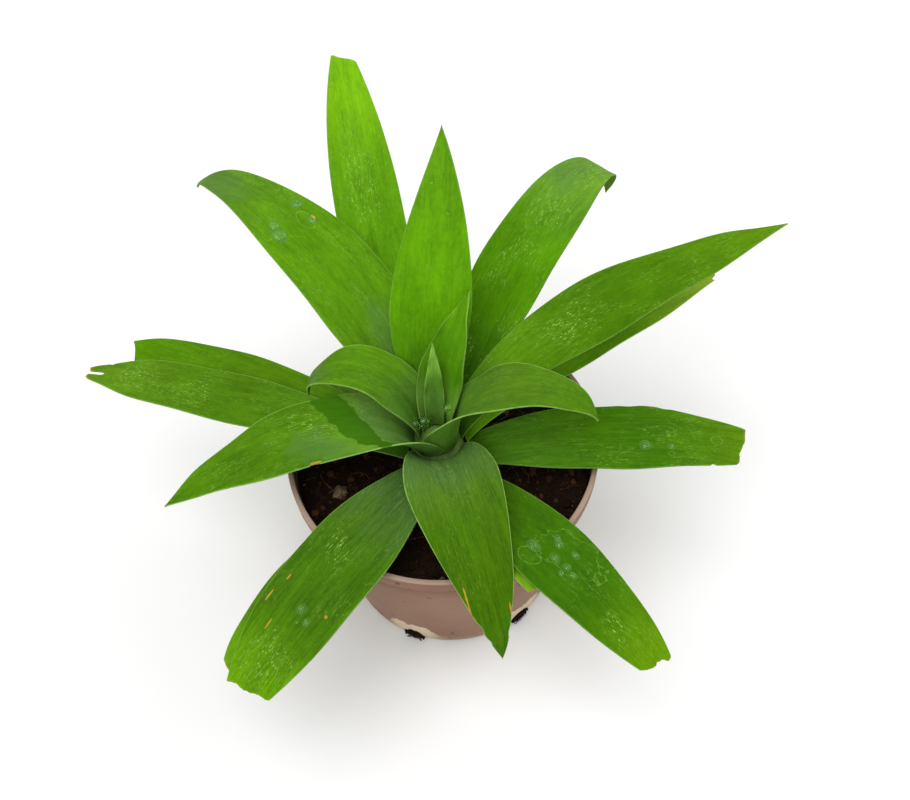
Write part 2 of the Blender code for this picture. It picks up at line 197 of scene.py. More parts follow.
# base, middle, tip: colours of the skin along the blade, as seen on screen. Besides each leaf's own
# tone they hold painted light and shade: brighter tips where the leaves reach out into the light,
# darker colours on leaves and bases that lie in shade, and lighter bases on some leaves that offset
# the shade deep in the rosette. bloom: how grey the base is, and bloom_length how far that reaches;
# flecks, outlines: pale scratches and dried water marks; striping: how strong the veins are;
# browning: how dry the end is; edge: how pale the margins are; pleats: height of the lengthwise
# folds; ragged: roughness of the end in millimetres.
Look = namedtuple("Look", (
    "base middle tip bloom bloom_length flecks outlines striping browning edge pleats ragged"))
LOOK_ROWS = (
    ("leaf_back_tall", (84, 134, 18), (90, 148, 10), (122, 184, 18),
     0.05, 40, 0.25, 0.2, 0.8, 0.2, 0.3, 0.10, 0.1),
    ("leaf_back_left_arched", (92, 142, 24), (87, 141, 13), (90, 133, 36),
     0.20, 40, 0.35, 0.4, 0.9, 0.4, 0.5, 0.10, 0.0),
    ("leaf_back_centre", (68, 118, 16), (100, 166, 12), (100, 160, 22),
     0.05, 40, 0.15, 0.1, 0.9, 0.2, 0.4, 0.10, 0.0),
    ("leaf_back_right_arched", (56, 106, 14), (86, 145, 9), (108, 152, 54),
     0.05, 40, 0.9, 0.5, 0.9, 0.6, 0.15, 0.10, 0.0),
    ("leaf_right_long", (98, 152, 20), (74, 121, 9), (88, 134, 14),
     0.20, 40, 0.45, 0.4, 0.9, 0.4, 0.4, 0.10, 0.0),
    ("leaf_right_under", (150, 220, 36), (108, 164, 22), (150, 190, 52),
     0.05, 40, 0.3, 0.2, 0.8, 1.0, 0.3, 0.05, 0.9),
    ("leaf_right_cut", (82, 136, 18), (64, 112, 10), (92, 137, 14),
     0.15, 55, 0.4, 0.5, 1.5, 0.2, 0.4, 0.10, 0.3),
    ("leaf_front_right_cut", (72, 116, 16), (59, 108, 6), (105, 152, 8),
     0.0, 50, 0.3, 0.1, 0.6, 0.4, 0.6, 0.05, 0.5),
    ("leaf_front_pointed", (88, 122, 46), (67, 111, 8), (70, 116, 4),
     0.75, 38, 0.2, 0.1, 2.0, 0.4, 1.0, 0.22, 0.0),
    ("leaf_front_left_cut", (76, 112, 42), (66, 111, 10), (101, 156, 9),
     0.65, 46, 0.3, 0.3, 2.0, 0.2, 0.6, 0.20, 0.4),
    ("leaf_front_left_under", (66, 106, 34), (68, 112, 14), (100, 154, 15),
     0.10, 40, 0.3, 0.2, 0.9, 0.3, 0.5, 0.05, 0.1),
    ("leaf_left_pointed", (122, 172, 60), (78, 126, 14), (78, 128, 9),
     0.70, 40, 0.4, 0.4, 1.0, 0.4, 0.9, 0.12, 0.0),
    ("leaf_left_cut", (82, 130, 26), (84, 132, 14), (86, 140, 7),
     0.10, 45, 0.2, 0.2, 0.9, 0.2, 0.6, 0.05, 0.0),
    ("leaf_left_split", (110, 168, 44), (78, 124, 16), (92, 138, 24),
     0.15, 45, 0.4, 0.3, 0.9, 1.0, 0.6, 0.08, 0.15),
    ("leaf_inner_left", (96, 148, 34), (84, 134, 16), (84, 128, 30),
     0.40, 45, 0.2, 0.1, 1.1, 0.2, 0.9, 0.12, 0.0),
    ("leaf_inner_right", (112, 164, 46), (80, 123, 24), (80, 130, 12),
     0.40, 50, 0.2, 0.1, 1.1, 0.2, 0.9, 0.12, 0.0),
    ("leaf_heart_tall", (120, 166, 60), (80, 138, 14), (94, 152, 16),
     0.35, 30, 0.1, 0.1, 0.9, 0.1, 0.6, 0.06, 0.0),
    ("leaf_heart_spear", (120, 166, 60), (94, 146, 42), (140, 196, 76),
     0.50, 30, 0.0, 0.0, 0.9, 0.1, 0.6, 0.05, 0.0),
    ("leaf_front_small", (100, 142, 28), (112, 158, 24), (118, 166, 26),
     0.0, 30, 0.2, 0.1, 0.7, 0.3, 0.8, 0.05, 0.2),
    ("leaf_old_left", (112, 156, 60), (96, 136, 36), (88, 122, 24),
     0.2, 30, 0.4, 0.3, 0.9, 0.8, 0.6, 0.10, 0.3),
)
LOOKS = {row[0]: Look(*(seen(*colour) for colour in row[1:4]), *row[4:]) for row in LOOK_ROWS}

# Bites out of a margin: share of the length, side (1 is left of the heading), half length, depth.
NIBBLES = {
    "leaf_right_cut": ((0.735, -1, 1.3, 0.7), (0.50, 1, 4.0, 0.35), (0.60, 1, 3.0, 0.3)),
    "leaf_front_pointed": ((0.80, -1, 3.5, 0.6), (0.88, -1, 2.0, 0.4), (0.86, 1, 2.5, 0.4)),
    "leaf_left_pointed": ((0.42, 1, 2.2, 0.6),),
    "leaf_left_split": ((0.915, -1, 1.2, 0.5),),
}
# The torn tip: where the slit along the middle starts, as a share of the length.
SLITS = {"leaf_left_split": 0.924}

# Patches on the skin. Each row holds its place across and along the blade, its half width and half
# length, all in millimetres, then how far it leans along the blade and how ragged it is.
WET_PATCHES = {
    "leaf_left_pointed": ((-3.5, 34.0, 18.5, 6.2, -0.62, 0.6),),
}
GREY_PATCHES = {
    "leaf_left_pointed": ((6.0, 46.0, 9.0, 12.0, -0.62, 1.0), (0.0, 20.0, 15.0, 9.0, -0.62, 0.3)),
    "leaf_back_right_arched": ((5.0, 104.0, 8.0, 9.0, 0.0, 0.6),),
    "leaf_back_left_arched": ((-2.0, 40.0, 7.0, 14.0, 0.0, 0.6), (2.0, 128.0, 8.0, 14.0, 0.0, 0.6)),
}
WATER_MARKS = {
    "leaf_front_right_cut": ((4.5, 60.0, 7.5, 12.5, 0.4, 0.8), (-6.5, 50.0, 3.2, 3.8, 0.2, 0.9)),
    "leaf_right_cut": ((0.5, 96.0, 2.0, 1.8, 0.0, 1.0), (-7.0, 78.0, 1.0, 1.3, 0.0, 0.6)),
    "leaf_back_left_arched": ((-6.0, 91.0, 2.6, 4.5, 0.0, 0.5),),
    "leaf_back_right_arched": ((6.0, 62.0, 1.6, 4.5, 0.2, 0.9),),
}
FLECK_PATCHES = {
    "leaf_front_right_cut": ((-2.5, 88.0, 5.5, 8.0, -0.3, 0.6),),
    "leaf_back_right_arched": ((2.0, 90.0, 9.0, 12.0, 0.0, 0.6),),
    "leaf_left_pointed": ((-4.0, 47.0, 9.0, 9.0, -0.62, 0.6),),
    "leaf_left_split": ((-1.0, 116.0, 8.0, 10.0, 0.0, 0.7), (1.0, 88.0, 7.0, 9.0, 0.0, 0.7)),
    "leaf_back_tall": ((6.0, 150.0, 5.0, 9.0, 0.0, 0.7), (2.0, 98.0, 8.0, 24.0, 0.0, 0.6)),
    "leaf_right_long": ((0.0, 62.0, 9.0, 16.0, 0.0, 0.7),),
    "leaf_front_left_cut": ((0.0, 98.0, 12.0, 12.0, 0.0, 0.6), (-4.0, 52.0, 7.0, 7.0, 0.4, 0.6)),
}
SCARS = {
    "leaf_front_left_cut": ((-12.4, 79.0, 0.28, 2.4, 0.6, 0.8), (-6.5, 86.5, 0.28, 2.6, 0.6, 0.7),
                            (-11.0, 70.0, 0.25, 1.2, 0.35, 0.8), (9.0, 72.0, 0.55, 0.6, 0.0, 0.2)),
    "leaf_left_pointed": ((13.4, 47.0, 0.5, 2.0, 0.0, 0.6),),
    "leaf_back_left_arched": ((-9.0, 90.0, 0.55, 1.3, 0.3, 0.9),),
    "leaf_front_pointed": ((-8.0, 70.0, 0.4, 8.0, 0.0, 1.2), (6.4, 80.0, 0.4, 7.0, 0.0, 1.2)),
    "leaf_left_split": ((0.0, 140.0, 1.15, 4.6, 0.0, 0.3), (-2.0, 144.2, 1.6, 1.7, 0.0, 0.6),
                        (2.0, 144.2, 1.6, 1.5, 0.0, 0.6)),
}

# Water drops on each leaf: share of the length, place across, radius. A drop's number in this order
# sets its outline, so one leaf comes twice.
DROP_ROWS = (
    ("leaf_back_left_arched", (
        (0.60, 0.45, 2.6), (0.63, 0.35, 1.9), (0.64, -0.66, 2.0), (0.58, -0.55, 1.6))),
    ("leaf_back_centre", ((0.74, -0.35, 0.8), (0.83, 0.45, 0.7))),
    ("leaf_front_left_cut", ((0.586, 0.0, 1.5), (0.603, 0.30, 1.2), (0.62, 0.12, 0.7))),
    ("leaf_front_right_cut", (
        (0.378, -0.20, 1.9), (0.447, -0.05, 1.4), (0.43, 0.30, 1.5), (0.49, 0.0, 1.3),
        (0.482, 0.40, 1.1), (0.516, -0.05, 1.2), (0.49, -0.25, 1.0), (0.413, 0.40, 1.2))),
    ("leaf_right_cut", ((0.538, -0.25, 2.0), (0.613, -0.30, 1.1))),
    ("leaf_heart_tall", ((0.19, -0.45, 0.8),)),
    ("leaf_inner_right", ((0.12, 0.80, 0.8),)),
    ("leaf_inner_left", ((0.06, 0.20, 1.2), (0.075, 0.70, 1.5))),
    ("leaf_heart_tall", ((0.06, 0.60, 1.3),)),
    ("leaf_heart_spear", ((0.10, 0.50, 0.8),)),
)
DROPS = tuple((leaf, *row) for leaf, rows in DROP_ROWS for row in rows)
# Water in the leaf axils: place and radius.
POOLS = (
    (-9.4, 1.0, 100.4, 2.9), (-6.4, 1.2, 101.2, 2.4), (3.0, 2.9, 107.0, 2.1),
)
SMALL_DROP = 0.9
DROP_SIDES = 20
DROP_RINGS = 6
DROP_SINK = 0.08
TALL_DROP = 1.5
DROP_LIMIT = 0.98
POOL_SWELL = 0.10
POOL_FLAT = 0.7

# Pot: the same profile as the plain solid, with rounded corners and a faint ring below the band.
POT_HEIGHT = 88.0
POT_SIDES = 168
POT_WALL_STEPS = 9
POT_SMOOTH = 30.0
FEWEST_POT_FACES = 1000
RIM_RADIUS = 60.0
RIM_THICKNESS = 2.0
RIM_ROUND = 0.6
BAND_HEIGHT = 6.5
BAND_STEP = 0.9
BAND_ROUND = 0.3
BAND_DRAFT = 0.25
RING_DROP = 2.6
RING_HALF_HEIGHT = 0.7
RING_DEPTH = 0.22
FOOT_RADIUS = 44.5
FOOT_CHAMFER = 2.4
FOOT_ROUND = 0.8
INSIDE_STEP = 2.0
WALL = 1.6
FLOOR = 2.2
SEAT_GAP = 0.35

# Drain notches in the pot's bottom corner, filled with soil and fine roots.
NOTCHES = 6
FIRST_NOTCH_AZIMUTH = -114.0
NOTCH_WIDTH = 8.5
NOTCH_HEIGHT = 5.5
NOTCH_CRUMBS = 60
NOTCH_CRUMB_HEIGHT = 9.5
NOTCH_SPRING = 1.5
NOTCH_INNER_RADIUS = 38.5
NOTCH_OUTER_RADIUS = 48.0
NOTCH_ARCH_STEPS = 18
CUTTER_OVERSHOOT = 2.0
PLUG_OUTER_RADIUS = 45.6
PLUG_LENGTH_STEPS = 10
PLUG_CAP_RINGS = 6
PLUG_BULGE = 0.9
PLUG_SET_BACK = 0.5
PLUG_ROUGHNESS = 0.8

# Soil: the same heaped top as the plain solid, with crumbs and plant fibres on it.
SOIL_EDGE_HEIGHT = 79.0
SOIL_MIDDLE_HEIGHT = 80.0
SOIL_SIDES = 180
SOIL_RINGS = 36
SOIL_BUMP = 1.3
SOIL_BUMP_SIZE = 11.0
CALM_MIDDLE_RADIUS = 12.0
CALM_FADE = 2
CALM_EDGE = 1.5
CLOD_HEIGHT = 1.0
CLOD_SIZE = 4.2
GRAIN_HEIGHT = 0.45
GRAIN_SIZE = 1.5
GRANULE_AZIMUTH = -160.0
GRANULE_REACH = 43.0
GRANULE_RADIUS = 2.9
GRANULE_LIFT = 0.9

# Loose grains and threads. A pair is the least and the most of a random value.
CRUMB_SEED = 41
CRUMB_REACH = (13.5, 55.5)
CRUMB_WALL = 56.6
CRUMB_LIFT = 0.25
FINE_CRUMB = 0.8
FIBRE_SEED = 7
FIBRE_REACH = (15.0, 53.0)
FIBRE_WALL = 55.5
FIBRE_STEM_RADIUS = 12.5
FIBRE_STEP = 1.25
FIBRE_RADII = (0.07, 0.17)
FIBRE_POINTS = (6, 13)
FIBRE_FEWEST_POINTS = 4
FIBRE_BEND = (-0.35, 0.35)
FIBRE_WANDER = (-0.25, 0.25)
FIBRE_LIFT = (0.0, 0.35)
ROOT_SEED = 19
ROOT_STEP = 0.55
ROOT_POINTS = 10
ROOT_RADII = (0.10, 0.22)
ROOT_START_ACROSS = (-2.8, 2.8)
ROOT_START_HEIGHT = (1.4, 4.0)
ROOT_WANDER = (-0.7, 0.7)
ROOT_STAND_OFF = 0.15
ROOT_WEAVE = 0.5
ROOT_HALF_WIDTH = 3.4
ROOT_LOWEST = 0.6
ROOT_HIGHEST = 4.4
NOTCH_CRUMB_SEED = 23
NOTCH_CRUMB_LOWEST = 2.0
NOTCH_CRUMB_SPREAD = 4.6
NOTCH_CRUMB_RADII = (0.45, 1.05)
GRAIN_SMOOTH = 60.0
THREAD_SMOOTH = 80.0

# Camera: it looks down at the plant from the front, slightly rolled, as the photograph was taken.
# Its distance, its aim and its clipping are in metres.
IMAGE_WIDTH = 910
FOCAL_PIXELS = 1100
SENSOR_WIDTH = 36.0
CAMERA_TILT = 55.0
CAMERA_ROLL = -4.2
CAMERA_DISTANCE = 0.40
CAMERA_AIM = Vector((0.006, 0.0, 0.115))
CLIP_START = 0.01
CLIP_END = 50.0

# Lights: place, size and what they aim at, in metres.
KEY_LIGHT = (Vector((-0.35, -0.55, 1.75)), 1.5)
FILL_LIGHT = (Vector((1.3, 0.5, 1.2)), 1.2)
LIGHT_AIM = Vector((0.0, 0.0, 0.1))

# Floor of the stage: its facets, and its height in millimetres, just under the pot.
FLOOR_SIDES = 64
FLOOR_HEIGHT = -0.2


def colour_setting(name, description, default):
    return FloatVectorProperty(name=name, description=description, default=default, subtype="COLOR",
                               min=0.0, max=1.0)


def length_setting(name, description, default, least, most):
    return FloatProperty(name=name, description=description, default=default, subtype="DISTANCE",
                         unit="LENGTH", min=least, max=most)


def power_setting(name, description, default):
    return FloatProperty(name=name, description=description, default=default, subtype="POWER",
                         unit="POWER", min=0.0, max=500.0)


class AgaveLeafSettings(PropertyGroup):
    bloom_colour: colour_setting("Bloom", "Grey-green bloom on the leaf bases", seen(90, 130, 66))
    mark_colour: colour_setting("Marks", "Pale scratches and dried water marks", seen(152, 198, 84))
    margin_colour: colour_setting("Margin", "Thin pale line along the leaf margins", seen(142, 184, 86))
    dry_colour: colour_setting("Dry ends", "Dried tissue at cut ends, tips and scars", seen(180, 150, 52))
    margin_width: length_setting("Margin width", "Width of the pale line along the margins",
                                 0.00024, 0.0, 0.003)
    buckle_height: length_setting("Buckles", "Height of the soft uneven swellings of the blades",
                                  0.00045, 0.0, 0.002)
    vein_depth: length_setting("Vein depth", "Depth of the fine lengthwise veins", 0.00016, 0.0, 0.001)
    wear: FloatProperty(name="Wear", description="Strength of the scratches, flecks and water marks",
                        default=0.8, subtype="FACTOR", min=0.0, max=1.0)


class AgaveStemSettings(PropertyGroup):
    colour: colour_setting("Colour", "Pale green of the stem", srgb(112, 142, 66))
    sides: IntProperty(name="Sides", description="Number of facets around the stem",
                       default=72, min=12, max=128)


class AgaveSoilSettings(PropertyGroup):
    dark_colour: colour_setting("Dark soil", "Colour of the moist soil", srgb(26, 16, 8))
    light_colour: colour_setting("Light crumbs", "Colour of the drier crumbs", srgb(92, 58, 32))
    fibre_colour: colour_setting("Fibres", "Colour of the plant fibres and roots", srgb(104, 82, 56))
    crumbs: IntProperty(name="Crumbs", description="Number of loose crumbs on the soil",
                        default=900, min=0, max=1500)
    crumb_size: length_setting("Crumb size", "Radius of the largest crumbs", 0.0019, 0.0005, 0.004)
    fibres: IntProperty(name="Fibres", description="Number of fibres on the soil",
                        default=110, min=0, max=300)
    root_threads: IntProperty(name="Root threads", description="Root threads at each drain notch",
                              default=9, min=0, max=30)


class AgavePotSettings(PropertyGroup):
    # The taupe and its darker clouds are set darker and warmer than the bare plastic: painted shade and a
    # painted warm reflected light.
    colour: colour_setting("Colour", "Taupe plastic of the pot", srgb(142, 105, 82))
    shade_colour: colour_setting("Shade", "Darker clouds in the plastic", srgb(130, 92, 70))
    # Cream on the foot of the pot, reaching higher round the notches, and in faint scratches on the wall.
    cream_colour: colour_setting("Scuffs", "Cream scuffs on the foot and round the notches",
                                 srgb(222, 204, 176))
    cream_height: length_setting("Scuff height", "How far up from the foot the scuffs reach",
                                 0.012, 0.0, 0.02)


class AgaveWaterSettings(PropertyGroup):
    drop_height: length_setting("Drop height", "Height of the largest drops", 0.001, 0.0001, 0.003)


class AgaveStageSettings(PropertyGroup):
    floor_colour: colour_setting("Floor", "Colour of the plain floor", (0.86, 0.86, 0.86))
    floor_size: length_setting("Floor size", "Radius of the floor", 6.0, 0.5, 20.0)
    key_power: power_setting("Key light", "Power of the large soft light above the front", 26.0)
    fill_power: power_setting("Fill light", "Power of the soft light on the right", 9.0)
    sky_strength: FloatProperty(name="Surrounding light", default=0.6, min=0.0, max=5.0,
                                description="Strength of the even light from all round")


class Graph:
    """Adds nodes to a material or a node group and links them."""

    def __init__(self, tree):
        self.tree = tree

    def add(self, kind, **values):
        node = self.tree.nodes.new(kind)
        for name, value in values.items():
            setattr(node, name, value)
        return node

    def feed(self, socket, value):
        if isinstance(value, bpy.types.NodeSocket):
            self.tree.links.new(value, socket)
        elif hasattr(value, "__len__") and len(value) == 3 and len(socket.default_value) == 4:
            socket.default_value = (*value, 1.0)
        else:
            socket.default_value = value

    def fill(self, node, **values):
        """Feeds inputs of a node. A value is named after its input, with _ for a blank."""
        for name, value in values.items():
            self.feed(node.inputs[name.replace("_", " ")], value)
        return node

    def maths(self, operation, *values, clamp=False):
        node = self.add("ShaderNodeMath", operation=operation, use_clamp=clamp)
        for socket, value in zip(node.inputs, values):
            self.feed(socket, value)
        return node.outputs[0]

    def times(self, *values, clamp=False):
        return self.maths("MULTIPLY", *values, clamp=clamp)

    def over(self, *values, clamp=False):
        return self.maths("DIVIDE", *values, clamp=clamp)

    def plus(self, *values):
        return self.maths("ADD", *values)

    def less(self, *values):
        return self.maths("SUBTRACT", *values)

    def most(self, *values):
        return self.maths("MAXIMUM", *values)

    def line(self, value, slope, start, clamp=False):
        """The value times the slope, plus the start."""
        return self.maths("MULTIPLY_ADD", value, slope, start, clamp=clamp)

    def sway(self, value, slope, start, clamp=False):
        """Moves the start up and down with a texture that swings about its middle."""
        return self.line(self.less(value, 0.5), slope, start, clamp)

    def tint(self, colour, by):
        return self.mix(1.0, colour, by, "MULTIPLY")

    def apart(self, first, second):
        return self.maths("ABSOLUTE", self.less(first, second))

    def far(self, x, y):
        """Distance of a place from the origin."""
        return self.maths("SQRT", self.plus(self.times(x, x), self.times(y, y)))

    def smooth(self, value, low, high, to_low=0.0, to_high=1.0):
        """Rises softly from to_low at low to to_high at high, whichever of the two is larger."""
        node = self.add("ShaderNodeMapRange", interpolation_type="SMOOTHSTEP")
        self.fill(node, Value=value, From_Min=low, From_Max=high, To_Min=to_low, To_Max=to_high)
        return node.outputs["Result"]

    def mix(self, share, first, second, blend="MIX"):
        node = self.add("ShaderNodeMix", data_type="RGBA", blend_type=blend)
        self.feed(node.inputs[0], share)
        self.feed(node.inputs[6], first)
        self.feed(node.inputs[7], second)
        return node.outputs[2]

    def place(self, across, along, seed, wide, long):
        """A place on the surface, in units of a texture's own size."""
        x, y = self.over(across, wide), self.over(along, long)
        return self.fill(self.add("ShaderNodeCombineXYZ"), X=x, Y=y, Z=seed).outputs[0]

    def noise(self, place, scale=1.0, detail=2.0, roughness=0.5, distortion=0.0):
        node = self.add("ShaderNodeTexNoise")
        self.fill(node, Vector=place, Scale=scale, Detail=detail, Roughness=roughness,
                  Distortion=distortion)
        return node.outputs[0]

    def cells(self, place):
        """Distance to the nearest of some scattered spots, and a random value for each spot."""
        node = self.fill(self.add("ShaderNodeTexVoronoi"), Vector=place, Scale=1.0)
        chance = self.add("ShaderNodeSeparateColor")
        self.feed(chance.inputs[0], node.outputs["Color"])
        return node.outputs["Distance"], chance.outputs[0]

    def attribute(self, name):
        """The three values that the mesh carries under this name."""
        held = self.add("ShaderNodeAttribute", attribute_name=name)
        parts = self.add("ShaderNodeSeparateXYZ")
        self.feed(parts.inputs[0], held.outputs["Vector"])
        return parts.outputs

    def millimetres(self):
        """The place in the object, in millimetres, and its three parts."""
        where = self.add("ShaderNodeTexCoord")
        scaled = self.add("ShaderNodeVectorMath", operation="SCALE")
        self.feed(scaled.inputs[0], where.outputs["Object"])
        self.feed(scaled.inputs["Scale"], 1000.0)
        parts = self.add("ShaderNodeSeparateXYZ")
        self.feed(parts.inputs[0], scaled.outputs[0])
        return scaled.outputs[0], parts.outputs

    def use(self, group, **values):
        return self.fill(self.add("ShaderNodeGroup", node_tree=group), **values).outputs


def start_group(name, inputs, outputs):
    """A new node group with its sockets, and the graph and inputs to fill it with.

    inputs and outputs hold the sockets' names. A star marks a colour, and the others are numbers.
    """
    group = bpy.data.node_groups.new(name, "ShaderNodeTree")
    for way, labels in (("INPUT", inputs), ("OUTPUT", outputs)):
        for label in labels.split(", "):
            plain = label.removeprefix("*")
            kind = "Float" if plain == label else "Color"
            group.interface.new_socket(plain, in_out=way, socket_type="NodeSocket" + kind)
    graph = Graph(group)
    return group, graph, graph.add("NodeGroupInput").outputs


def finish_group(graph, **results):
    graph.fill(graph.add("NodeGroupOutput"), **results)


def leaf_skin_group():
    """Green skin with lengthwise veins, bloom at the base, pale flecks, water marks, a pale margin and
    painted shade at the clasping base.
    """
    group, graph, given = start_group(
        "leaf skin",
        "*Base, *Middle, *Tip, *Bloom Colour, *Mark Colour, *Margin Colour, *Dry Colour, Bloom, "
        "Bloom Length, Flecks, Rubbed, Outlines, Striping, Browning, Edge, Margin Width, Seed",
        "*Color, Roughness, Height")
    across, along, share = graph.attribute("blade")
    margin, end, _ = graph.attribute("edge")
    seed, striping = given["Seed"], given["Striping"]

    def texture(shift, wide, long, detail=2.0, **values):
        """Noise with grains this wide and long. Each shift gives another pattern."""
        start = graph.plus(seed, shift) if shift else seed
        return graph.noise(graph.place(across, along, start, wide, long), detail=detail, **values)

    # Blend from base to tip of the leaf's colours, which carry painted light and shade as well as the
    # leaf's own tone.
    plain = graph.mix(graph.smooth(share, 0.08, 0.45), given["Base"], given["Middle"])
    plain = graph.mix(graph.smooth(share, 0.55, 0.95), plain, given["Tip"])
    veins = texture(0.0, 0.5, 14.0, 3.0, roughness=0.6)
    bands = texture(0.0, 2.4, 26.0, 2.0)
    mottle = texture(61.0, 1.6, 3.6, 3.0, roughness=0.6)
    clouds = texture(0.0, 9.0, 17.0, 4.0, roughness=0.6)
    grain = texture(0.0, 0.8, 1.6, 3.0, roughness=0.7)
    tone = graph.sway(veins, graph.times(striping, 1.1), 0.5)
    tone = graph.sway(bands, 0.9, tone)
    tone = graph.sway(clouds, 1.3, tone)
    tone = graph.sway(mottle, 0.9, tone)
    tone = graph.sway(grain, 0.9, tone, clamp=True)
    colour = graph.mix(tone, graph.tint(plain, (0.72, 0.75, 0.8)),
                       graph.tint(plain, (1.27, 1.23, 1.1)))
    dashes = texture(31.0, 0.36, 4.5, 2.0)
    dashes = graph.times(graph.smooth(dashes, 0.42, 0.32), graph.smooth(clouds, 0.62, 0.42))
    dashes = graph.times(dashes, graph.times(striping, 0.2, clamp=True))
    colour = graph.mix(dashes, colour, graph.tint(plain, (0.45, 0.50, 0.7)))

    bloom = graph.sway(clouds, 55.0, along)
    bloom = graph.smooth(bloom, given["Bloom Length"], graph.times(given["Bloom Length"], 0.3))
    bloom = graph.times(bloom, given["Bloom"])
    lines = graph.most(graph.smooth(veins, 0.36, 0.60), graph.smooth(grain, 0.40, 0.60, 0.0, 0.6))
    bloom = graph.times(bloom, graph.line(lines, 0.65, 0.35))
    colour = graph.mix(bloom, colour, given["Bloom Colour"])
    creases = texture(41.0, 0.5, 2.2, 2.0, distortion=0.8)
    creases = graph.times(graph.smooth(creases, 0.58, 0.68, 0.0, 0.55), bloom)
    colour = graph.mix(creases, colour, given["Mark Colour"])

    rubbed = texture(11.0, 8.0, 13.0, 3.0)
    rubbed = graph.times(graph.smooth(rubbed, 0.48, 0.62), given["Flecks"])
    rubbed = graph.most(rubbed, given["Rubbed"])
    spot, chance = graph.cells(graph.place(across, along, seed, 1.0, 2.0))
    specks = graph.times(graph.smooth(spot, 0.32, 0.14), graph.smooth(chance, 0.60, 0.66))
    scratches = texture(5.0, 0.28, 2.4, 2.0, distortion=0.5)
    marks = graph.most(specks, graph.smooth(scratches, 0.57, 0.66, 0.0, 0.8))
    marks = graph.times(marks, rubbed)
    stray = graph.times(graph.smooth(spot, 0.22, 0.10), graph.smooth(chance, 0.95, 0.97))
    marks = graph.most(marks, graph.times(stray, given["Flecks"]))

    shore = texture(19.0, 6.0, 9.0, 3.0, distortion=0.6)
    shore = graph.apart(shore, 0.56)
    region = texture(23.0, 11.0, 24.0, 1.0)
    shore = graph.times(graph.smooth(shore, 0.009, 0.002), graph.smooth(region, 0.52, 0.62))
    shore = graph.times(shore, graph.smooth(grain, 0.35, 0.6))
    marks = graph.most(marks, graph.times(shore, given["Outlines"]))
    colour = graph.mix(marks, colour, given["Mark Colour"])

    uneven = graph.noise(graph.place(margin, along, seed, 4.0, 3.0), detail=2.0)
    dry = graph.sway(uneven, 2.4, end)
    dry = graph.times(graph.smooth(dry, 0.9, 0.1), given["Browning"])
    pale = graph.smooth(margin, given["Margin Width"], graph.times(given["Margin Width"], 0.4))
    pale = graph.times(pale, graph.smooth(uneven, 0.25, 0.55, 0.5, 1.0))
    pale = graph.times(pale, given["Edge"])
    colour = graph.mix(pale, colour, given["Margin Colour"])
    colour = graph.mix(dry, colour, given["Dry Colour"])
    # Painted shade: the skin darkens over the last few millimetres of the clasping base, deep in the
    # rosette.
    shade = graph.tint(colour, (0.45, 0.5, 0.45))
    colour = graph.mix(graph.smooth(along, 9.0, 2.0, 0.0, 0.8), colour, shade)

    rough = graph.line(clouds, 0.16, 0.38)
    rough = graph.line(marks, 0.18, rough)
    rough = graph.line(bloom, 0.10, rough)
    height = graph.line(veins, graph.times(striping, 0.7), graph.times(bands, 0.9))
    height = graph.line(grain, 0.25, height)
    height = graph.line(creases, 0.8, height)
    height = graph.line(marks, 0.25, height)
    finish_group(graph, Color=colour, Roughness=rough, Height=height)
    return group


def patch_group():
    """A ragged patch on a blade, as a mask of its inside, a softer one and a mask of its outline."""
    group, graph, given = start_group(
        "patch", "Across, Along, Half Width, Half Length, Lean, Ragged", "Inside, Soft, Outline")
    across, along, _ = graph.attribute("blade")
    beside = graph.less(across, given["Across"])
    ahead = graph.less(along, given["Along"])
    ahead = graph.less(ahead, graph.times(beside, given["Lean"]))
    x = graph.over(beside, given["Half Width"])
    y = graph.over(ahead, given["Half Length"])
    far = graph.far(x, y)
    rough = graph.noise(graph.place(across, along, given["Along"], 5.0, 6.0), detail=3.0)
    far = graph.sway(rough, graph.times(given["Ragged"], 2.0), far)
    inside = graph.smooth(far, 1.04, 0.92)
    soft = graph.smooth(far, 1.25, 0.35)
    line = graph.apart(far, 1.0)
    thick = graph.over(0.13, given["Half Width"], clamp=True)
    outline = graph.smooth(graph.less(line, thick), 0.03, -0.02)
    outline = graph.times(outline, graph.smooth(rough, 0.30, 0.52, 1.0, 0.45))
    finish_group(graph, Inside=inside, Soft=soft, Outline=outline)
    return group


def grit_group():
    """Scattered small specks, such as soil grains on plastic or dry crumbs in soil."""
    group, graph, given = start_group("grit", "Size, Amount, Seed", "Specks")
    place, _ = graph.millimetres()
    shifted = graph.add("ShaderNodeVectorMath", operation="ADD")
    graph.feed(shifted.inputs[0], place)
    graph.feed(shifted.inputs[1], given["Seed"])
    node = graph.add("ShaderNodeVectorMath", operation="DIVIDE")
    graph.feed(node.inputs[0], shifted.outputs[0])
    graph.feed(node.inputs[1], given["Size"])
    spot, chance = graph.cells(node.outputs[0])
    kept = graph.maths("GREATER_THAN", given["Amount"], chance)
    specks = graph.times(graph.smooth(spot, 0.38, 0.22), kept)
    finish_group(graph, Specks=specks)
    return group


def shared_group(name):
    """The node group of this name, made the first time that it is asked for."""
    makers = {"leaf skin": leaf_skin_group, "patch": patch_group, "grit": grit_group}
    return bpy.data.node_groups.get(name) or makers[name]()


